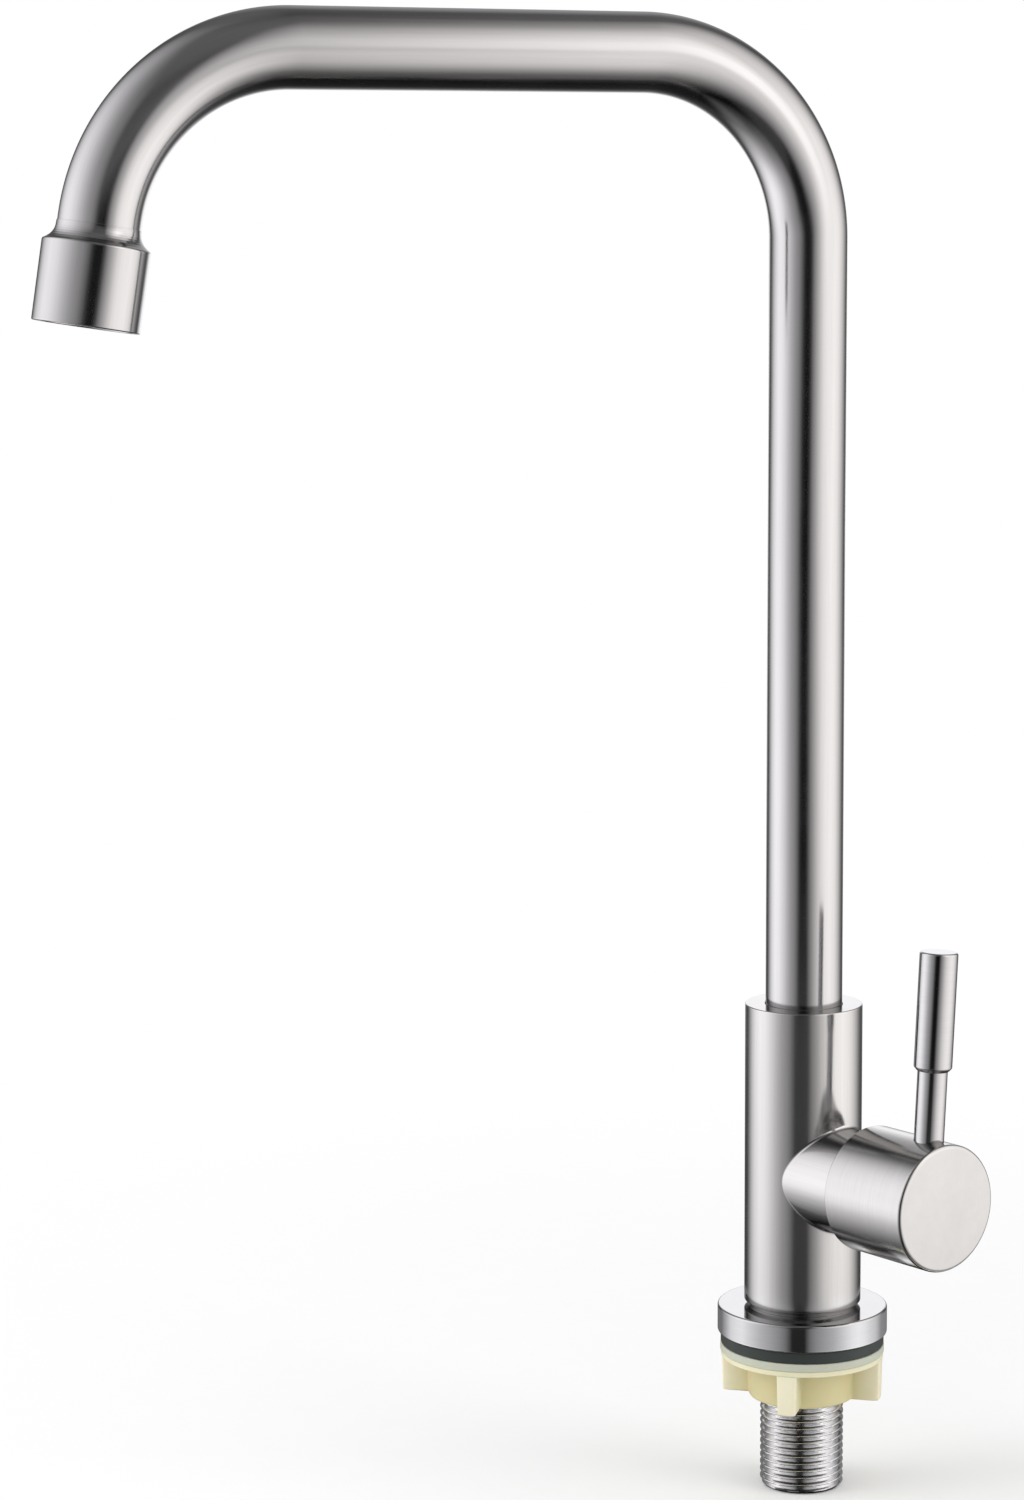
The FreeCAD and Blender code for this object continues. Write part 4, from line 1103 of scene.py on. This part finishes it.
@dataclass(frozen=True)
class Handle:
    """The hub that turns on the stub, and its lever."""

    radius: float = 15.6
    back: float = 24.65
    face: float = 50.9
    face_round: float = 0.9
    back_round: float = 0.3
    skirt_radius: float = 13.3
    skirt_floor: float = 37.5
    stem_radius: float = 4.06
    stem_end: float = 46.9
    lever_place: float = 43.7
    lever_lean: float = 3.5
    foot_radius: float = 3.65
    foot_length: float = 17.0
    grip_radius: float = 4.65
    grip_length: float = 28.9
    grip_inset: float = 0.75
    grip_corner: float = 0.8
    spotface: float = 1.0
    spotface_play: float = 0.06
    stud_radius: float = 3.0
    stud_end: float = 4.4
    grub_radius: float = 2.52
    columns: int = 192
    lever_columns: int = 128

    def lever_axis(self, valve: Axis) -> Axis:
        """The lever's line across the hub: up, leaning away from the front.

        Args:
            valve: The handle's axis.

        Returns:
            The lever's axis.
        """
        lean = math.radians(self.lever_lean)
        along, up = np.array(valve.along), np.array(valve.across)
        front = np.cross(along, up)
        start = np.array(valve.start) + self.lever_place * along
        return Axis(tuple(start), tuple(up * math.cos(lean) - front * math.sin(lean)), tuple(-along))

    def build(self, shop: Workshop, valve: Axis) -> None:
        """Builds the hub and the lever on the handle's body.

        Args:
            shop: Dresses the pieces.
            valve: The handle's axis.
        """
        cap = turned("handle_cap", valve, [
            (0.0, self.stem_end, 0.0), (self.stem_radius, self.stem_end, 0.0),
            (self.stem_radius, self.skirt_floor, 0.0), (self.skirt_radius, self.skirt_floor, 0.0),
            (self.skirt_radius, self.back, 0.15), (self.radius, self.back, self.back_round),
            (self.radius, self.face, self.face_round), (0.0, self.face, 0.0)],
            self.columns, closed=False, step=1.5)
        lever_axis = self.lever_axis(valve)
        seat = self.radius - self.spotface
        past = self.radius + OVERCUT
        carve(cap, [drill(lever_axis, self.foot_radius + self.spotface_play, seat, past),
                    drill(lever_axis, self.grub_radius, -past, 0.0)])
        shop.fit(cap, BRUSHED_HUB, "handle", "brushed_steel", "handle_hub")
        step = self.radius + self.foot_length
        tip = step + self.grip_length
        lever = turned("lever_rod", lever_axis, [
            (0.0, self.stud_end, 0.0), (self.stud_radius, self.stud_end, 0.2),
            (self.stud_radius, seat, 0.0), (self.foot_radius, seat, 0.0), (self.foot_radius, step, 0.15),
            (self.grip_radius - self.grip_inset, step, 0.2),
            (self.grip_radius, step + self.grip_corner, 0.7),
            (self.grip_radius, tip, 0.55), (0.0, tip, 0.0)], self.lever_columns, closed=False)
        shop.fit(lever, POLISHED, "handle", "polished_steel", "lever_pin")


@dataclass(frozen=True)
class Studio:
    """The pale floor, the soft light and the camera.

    Azimuths of the light are degrees from the camera's side of the tap, growing to the right, and
    elevations are degrees over the horizon. Lengths of the camera are millimetres.
    """

    focal_pixels: float = 3769.8
    picture_height: float = 1500.0
    sensor: float = 36.0
    camera_place: Direction = (-407.2, -831.2, 277.5)
    look_azimuth: float = 68.39
    look_down: float = 7.809
    roll: float = 0.292
    floor_size: float = 1600.0
    floor_level: float = -36.9
    camera_side: float = 243.9
    room_radius: float = 700.0
    room_level: float = 150.0
    room_rows: int = 49
    light_columns: int = 96
    front_light: Levels = (
        (-180, 0.1), (-152, 0.04), (-142, 0.08), (-132, 0.3), (-124, 0.56), (-112, 0.86), (-98, 1.05),
        (-84, 1.0), (-70, 0.8), (-56, 0.54), (-44, 0.36), (-33, 0.26), (-24, 0.14), (-18, 0.04),
        (-12, 0.008), (0, 0.006), (6, 0.04), (13, 0.17), (24, 0.33), (38, 0.6), (52, 0.81), (66, 0.98),
        (80, 1.04), (98, 0.93), (116, 0.6), (130, 0.28), (139, 0.12), (150, 0.06), (180, 0.1))
    left_by_elevation: Levels = (
        (-90, 0.03), (-72, 0.08), (-54, 0.17), (-44, 0.36), (-34, 0.56), (-24, 0.86), (-14, 1.0), (-4, 0.98),
        (6, 0.95), (16, 0.93), (24, 0.9), (30, 0.82), (36, 0.75), (43, 0.63), (50, 0.46), (58, 0.33),
        (66, 0.19), (74, 0.12), (90, 0.08))
    right_by_elevation: Levels = (
        (-90, 0.02), (-72, 0.06), (-63, 0.17), (-50, 0.39), (-37, 0.68), (-25, 0.94), (-12, 1.07), (0, 1.14),
        (10, 1.3), (20, 1.72), (31, 1.7), (41, 1.45), (50, 1.16), (60, 0.8), (69, 0.42), (78, 0.17),
        (90, 0.05))
    side_by_elevation: Levels = (
        (-90, 0.01), (-60, 0.12), (-50, 0.24), (-40, 0.44), (-30, 0.72), (-20, 0.95), (-8, 1.0), (8, 1.0),
        (28, 0.93), (38, 0.78), (50, 0.68), (60, 0.58), (69, 0.38), (78, 0.18), (90, 0.05))
    gap_by_elevation: Levels = (
        (-60, 0.0), (-40, 0.04), (-17, 0.045), (-12, 0.0), (14, 0.0), (24, 0.09), (40, 0.07), (52, 0.1),
        (70, 0.11), (90, 0.08))
    back_by_elevation: Levels = (
        (-90, 0.01), (-60, 0.01), (-38, 0.02), (-22, 0.1), (-12, 0.35), (0, 1.05), (7, 1.05), (15, 0.76),
        (24, 0.45), (34, 0.32), (44, 0.3), (54, 0.22), (66, 0.09), (90, 0.05))
    side_from: float = 44.0
    side_to: float = 68.0
    back_from: float = 150.0
    back_to: float = 170.0
    second_bounce: float = 0.35
    gap_shift: Levels = ((-90, 0.2), (-18, 0.2), (-9, 0.15), (0, 0.05), (10, 0.8), (90, 0.8))
    gap_shift_degrees: float = 10.0
    tint: Levels = (
        (-180, (0.99, 0.98, 1.0)), (-14.4, (1.0, 0.985, 1.0)), (36, (1.0, 0.975, 0.955)),
        (108, (1.0, 0.97, 0.95)), (180, (0.98, 0.98, 1.0)))
    card_radius: float = 60.0
    card_high: float = -1.0
    card_low: float = -62.0
    card_reach: float = 63.0
    card_boost: float = 1.25
    card_boost_from: float = -18.0
    card_boost_to: float = -26.0
    card_dim_from: float = -17.0
    card_dim_to: float = -13.0
    card_light: Levels = (
        (-180, 0.12), (-122, 0.2), (-108, 0.47), (-96, 0.79), (-85, 0.9), (-75, 0.94), (-64, 0.77),
        (-48, 0.54), (-33, 0.38), (-26, 0.3), (-19, 0.2), (-11, 0.02), (3, 0.02), (9, 0.18), (16, 0.29),
        (29, 0.42), (36, 0.5), (44, 0.64), (52, 0.8), (60, 0.94), (69, 1.02), (79, 0.95), (90, 0.78),
        (101, 0.66), (116, 0.3), (180, 0.12))
    floor_fade_from: float = 40.0
    floor_fade_to: float = 450.0
    soft_light: float = 0.8
    lamps_at: tuple[tuple[str, float, float], ...] = (("left_lamp", -75.0, 5.0), ("right_lamp", 70.0, 4.0))
    lamp_away: float = 1000.0
    lamp_height: float = 450.0
    lamp_aim: float = 120.0
    lamp_size: tuple[float, float] = (700.0, 900.0)

    def build(self) -> None:
        """Builds the whole studio."""
        self.floor()
        self.light()
        self.room()
        self.card()
        self.lamps()
        self.camera()
        bpy.context.scene.view_settings.view_transform = "Standard"

    def floor(self) -> None:
        """A pale floor that turns to plain white towards its rim."""
        mesh = bpy.data.meshes.new("floor")
        half, level = self.floor_size * MM, self.floor_level * MM
        corners = [(-half, -half, level), (half, -half, level), (half, half, level), (-half, half, level)]
        mesh.from_pydata(corners, [], [(0, 1, 2, 3)])
        floor = bpy.data.objects.new("floor", mesh)
        bpy.context.scene.collection.objects.link(floor)
        material, graph = new_material("pale_floor")
        place = graph.object_place()
        away = graph.rescale(graph.vector("LENGTH", place),
                             (self.floor_fade_from * MM, self.floor_fade_to * MM), curve="SMOOTHSTEP")
        grain = graph.noise(place, 90.0, 3.0)
        paint = graph.add("BsdfDiffuse", {"Color": graph.mix(grain, (0.93, 0.93, 0.93), (0.95, 0.95, 0.95))})
        white = graph.add("Emission", {"Color": (1.0, 1.0, 1.0, 1.0)})
        share = graph.math("MULTIPLY", away, graph.add("LightPath").outputs["Is Camera Ray"])
        graph.surface(graph.add("MixShader", {0: share, 1: paint.outputs[0], 2: white.outputs[0]}))
        mesh.materials.append(material)
        floor.visible_glossy = False

    def light(self) -> None:
        """The world: plain white where it is seen, and a plain soft light on what isn't a mirror."""
        world = bpy.data.worlds.new("studio")
        bpy.context.scene.world = world
        world.use_nodes = True
        world.cycles_visibility.glossy = False
        graph = Graph(world.node_tree)
        path = graph.add("LightPath").outputs
        seen = graph.math("MAXIMUM", path["Is Camera Ray"], path["Is Transmission Ray"])
        strength = graph.rescale(seen, target=(self.soft_light, 1.0))
        white = graph.add("Background", {"Color": (1.0, 1.0, 1.0, 1.0), "Strength": strength})
        graph.add("OutputWorld", {"Surface": white.outputs[0]})

    def mirrored(self, name: str, light: str, grid: np.ndarray) -> Graph:
        """Makes a sheet of light that only gloss sees.

        Args:
            name: The sheet's name.
            light: Its material's name.
            grid: Its points.

        Returns:
            The graph of its material.
        """
        sheet = skin(name, grid, closed=False)
        for ray in ("camera", "diffuse", "transmission", "shadow", "volume_scatter"):
            setattr(sheet, "visible_" + ray, False)
        material, graph = new_material(light)
        material.cycles.emission_sampling = "NONE"
        sheet.data.materials.append(material)
        return graph

    def azimuth(self, graph: Graph, way: Socket) -> Socket:
        """The azimuth of a direction from the camera's side, growing to the right.

        Args:
            graph: The light's graph.
            way: The direction.

        Returns:
            The azimuth, in radians.
        """
        side = math.radians(self.camera_side)
        towards = graph.vector("DOT_PRODUCT", way, (math.cos(side), math.sin(side), 0.0))
        right = graph.vector("DOT_PRODUCT", way, (-math.sin(side), math.cos(side), 0.0))
        return graph.math("ARCTAN2", right, towards)

    def dimmed(self, graph: Graph, level: Socket, where: object) -> Socket:
        """A light's level, less where it comes by two mirrors or more, so that corners stay dark.

        Args:
            graph: The light's graph.
            level: The full level.
            where: 1 where it is dimmed, 0 where it isn't.

        Returns:
            The dimmed level.
        """
        bounces = graph.add("LightPath").outputs["Glossy Depth"]
        lost = graph.rescale(bounces, (1.0, 2.0), (0.0, 1.0 - self.second_bounce))
        kept = graph.math("SUBTRACT", 1.0, graph.math("MULTIPLY", lost, where))
        return graph.math("MULTIPLY", level, kept)

    def room(self) -> None:
        """The room that the gloss mirrors, a ball as wide as the camera is far.

        Two tall soft boxes stand left and right of the camera with a gap between them, which keeps a
        little light overhead and low down. Behind the tap is a white sheet, and below it a dark bench.
        The light depends on the azimuth and the elevation of the place on the ball.
        """
        climb = np.radians(np.linspace(-90.0, 90.0, self.room_rows))
        profile = self.room_radius * np.stack([np.cos(climb), np.sin(climb)], -1)
        profile[[0, -1], 0] = 0.0
        grid = lathe(profile, self.light_columns) + np.array([0.0, 0.0, self.room_level])
        graph = self.mirrored("room", "room_light", grid)
        centred = graph.vector("SUBTRACT", graph.object_place(), (0.0, 0.0, self.room_level * MM))
        way = graph.vector("NORMALIZE", centred)
        elevation = graph.math("ARCSINE", graph.add("SeparateXYZ", {0: way}).outputs["Z"])
        shift = graph.by_angle(elevation, 90, self.gap_shift)
        shift = graph.math("MULTIPLY", shift, math.radians(self.gap_shift_degrees))
        azimuth = graph.math("SUBTRACT", self.azimuth(graph, way), shift)
        left, right, aside, back, gap = (
            graph.by_angle(elevation, 90, levels)
            for levels in (self.left_by_elevation, self.right_by_elevation, self.side_by_elevation,
                           self.back_by_elevation, self.gap_by_elevation))
        beside = graph.rescale(azimuth, (math.radians(self.side_from), math.radians(self.side_to)))
        front = graph.mix(graph.math("GREATER_THAN", azimuth, 0.0), left, graph.mix(beside, right, aside))
        front = graph.math("MULTIPLY", graph.by_angle(azimuth, 180, self.front_light), front)
        front = graph.math("MAXIMUM", front, gap)
        behind = graph.rescale(graph.math("ABSOLUTE", azimuth),
                               (math.radians(self.back_from), math.radians(self.back_to)))
        level = graph.add("Mix", {0: behind, 2: front, 3: back}).outputs[0]
        graph.surface(graph.add("Emission", {"Color": graph.by_angle(azimuth, 180, self.tint),
                                             "Strength": self.dimmed(graph, level, 1.0)}))

    def card(self) -> None:
        """A low white band round the tail, for the gloss of the flange's rim and of the tail.

        Its light depends on the azimuth, with a dark slit towards the camera, is stronger where the tail
        sees it, and is dimmed above that for what comes by two mirrors. Only a short ray meets it: a
        longer one than its reach goes through.
        """
        band = np.array([[self.card_radius, self.card_low], [self.card_radius, self.card_high]])
        graph = self.mirrored("low_band", "band_light", lathe(band, self.light_columns))
        place = graph.object_place()
        level = graph.by_angle(self.azimuth(graph, place), 180, self.card_light)
        depth = graph.add("SeparateXYZ", {0: place}).outputs["Z"]
        boost = graph.rescale(depth, (self.card_boost_from * MM, self.card_boost_to * MM),
                              (1.0, self.card_boost))
        upper = graph.rescale(depth, (self.card_dim_from * MM, self.card_dim_to * MM))
        level = self.dimmed(graph, graph.math("MULTIPLY", level, boost), upper)
        glow = graph.add("Emission", {"Color": (0.98, 0.98, 1.0, 1.0), "Strength": level})
        clear = graph.add("BsdfTransparent")
        close = graph.math("LESS_THAN", graph.add("LightPath").outputs["Ray Length"], self.card_reach * MM)
        graph.surface(graph.add("MixShader", {0: close, 1: clear.outputs[0], 2: glow.outputs[0]}))

    def lamps(self) -> None:
        """Two large soft lamps left and right, which shape the plastic and rubber."""
        for name, azimuth, power in self.lamps_at:
            lamp = bpy.data.lights.new(name, "AREA")
            lamp.shape = "RECTANGLE"
            lamp.size, lamp.size_y = (side * MM for side in self.lamp_size)
            lamp.energy = power
            holder = bpy.data.objects.new(name, lamp)
            bpy.context.scene.collection.objects.link(holder)
            angle = math.radians(self.camera_side + azimuth)
            place = np.array([self.lamp_away * math.cos(angle), self.lamp_away * math.sin(angle),
                              self.lamp_height]) * MM
            aim(holder, place, np.array([0.0, 0.0, self.lamp_aim * MM]) - place, 0.0)
            holder.visible_glossy = False

    def camera(self) -> None:
        """The camera at the photograph's place, its picture turned by the small roll."""
        data = bpy.data.cameras.new("camera")
        data.sensor_width = self.sensor
        data.lens = self.focal_pixels * self.sensor / self.picture_height
        data.clip_start, data.clip_end = 0.05, 20.0
        camera = bpy.data.objects.new("camera", data)
        bpy.context.scene.collection.objects.link(camera)
        azimuth, down = math.radians(self.look_azimuth), math.radians(self.look_down)
        way = np.array([math.cos(azimuth) * math.cos(down), math.sin(azimuth) * math.cos(down),
                        -math.sin(down)])
        aim(camera, np.array(self.camera_place) * MM, way, math.radians(self.roll))
        bpy.context.scene.camera = camera


def aim(holder: Piece, place: np.ndarray, way: np.ndarray, roll: float) -> None:
    """Stands a camera or lamp at a place in metres and points its -Z the way given.

    Its right is the way crossed with up, and the roll turns right and up together about the way.

    Args:
        holder: The camera's or lamp's object.
        place: Where it stands.
        way: The way it points.
        roll: How far it is rolled, in radians.
    """
    ahead = way / np.linalg.norm(way)
    right = np.cross(ahead, [0.0, 0.0, 1.0])
    right /= np.linalg.norm(right)
    up = np.cross(right, ahead)
    rolled_right = right * math.cos(roll) - up * math.sin(roll)
    rolled_up = right * math.sin(roll) + up * math.cos(roll)
    columns = np.stack([rolled_right, rolled_up, -ahead], -1)
    matrix = Matrix.Identity(4)
    for row in range(3):
        matrix[row] = (*columns[row], place[row])
    holder.matrix_world = matrix


def main() -> None:
    """Builds the tap's parts in order, dresses the pieces inside it and sets up the studio."""
    logging.basicConfig(level=logging.INFO, format="%(name)s: %(message)s")
    valve = joint_axis("handle_turn", (0.0, 0.0, 1.0))
    thread = Thread()
    shop = Workshop()
    Studio().build()
    Barrel().build(shop, valve)
    DeckSeat().build(shop)
    Tail().build(shop, thread)
    LockNut().build(shop, thread)
    Spout().build(shop)
    Handle().build(shop, valve)
    shop.redress({
        AERATOR_PLASTIC: ("aerator_housing", "aerator_grid", "aerator_jet_plate"),
        SCREEN_STEEL: ("aerator_screens",),
        SEAL_RUBBER: ("aerator_gasket", "inlet_washer", "housing_o_ring", "seat_seal", "stem_o_rings",
                      "spout_o_rings"),
        SCREW_STEEL: ("spout_screw", "hub_grub_screw", "stem_clip"),
        BRASS: ("spout_ferrule", "cartridge_housing", "cartridge_stem"),
        NYLON: ("thrust_washer", "spout_slip_ring", "handle_guide_ring", "stem_slide_ring"),
        CERAMIC: ("fixed_disc", "moving_disc")})


if __name__ == "__main__":
    main()
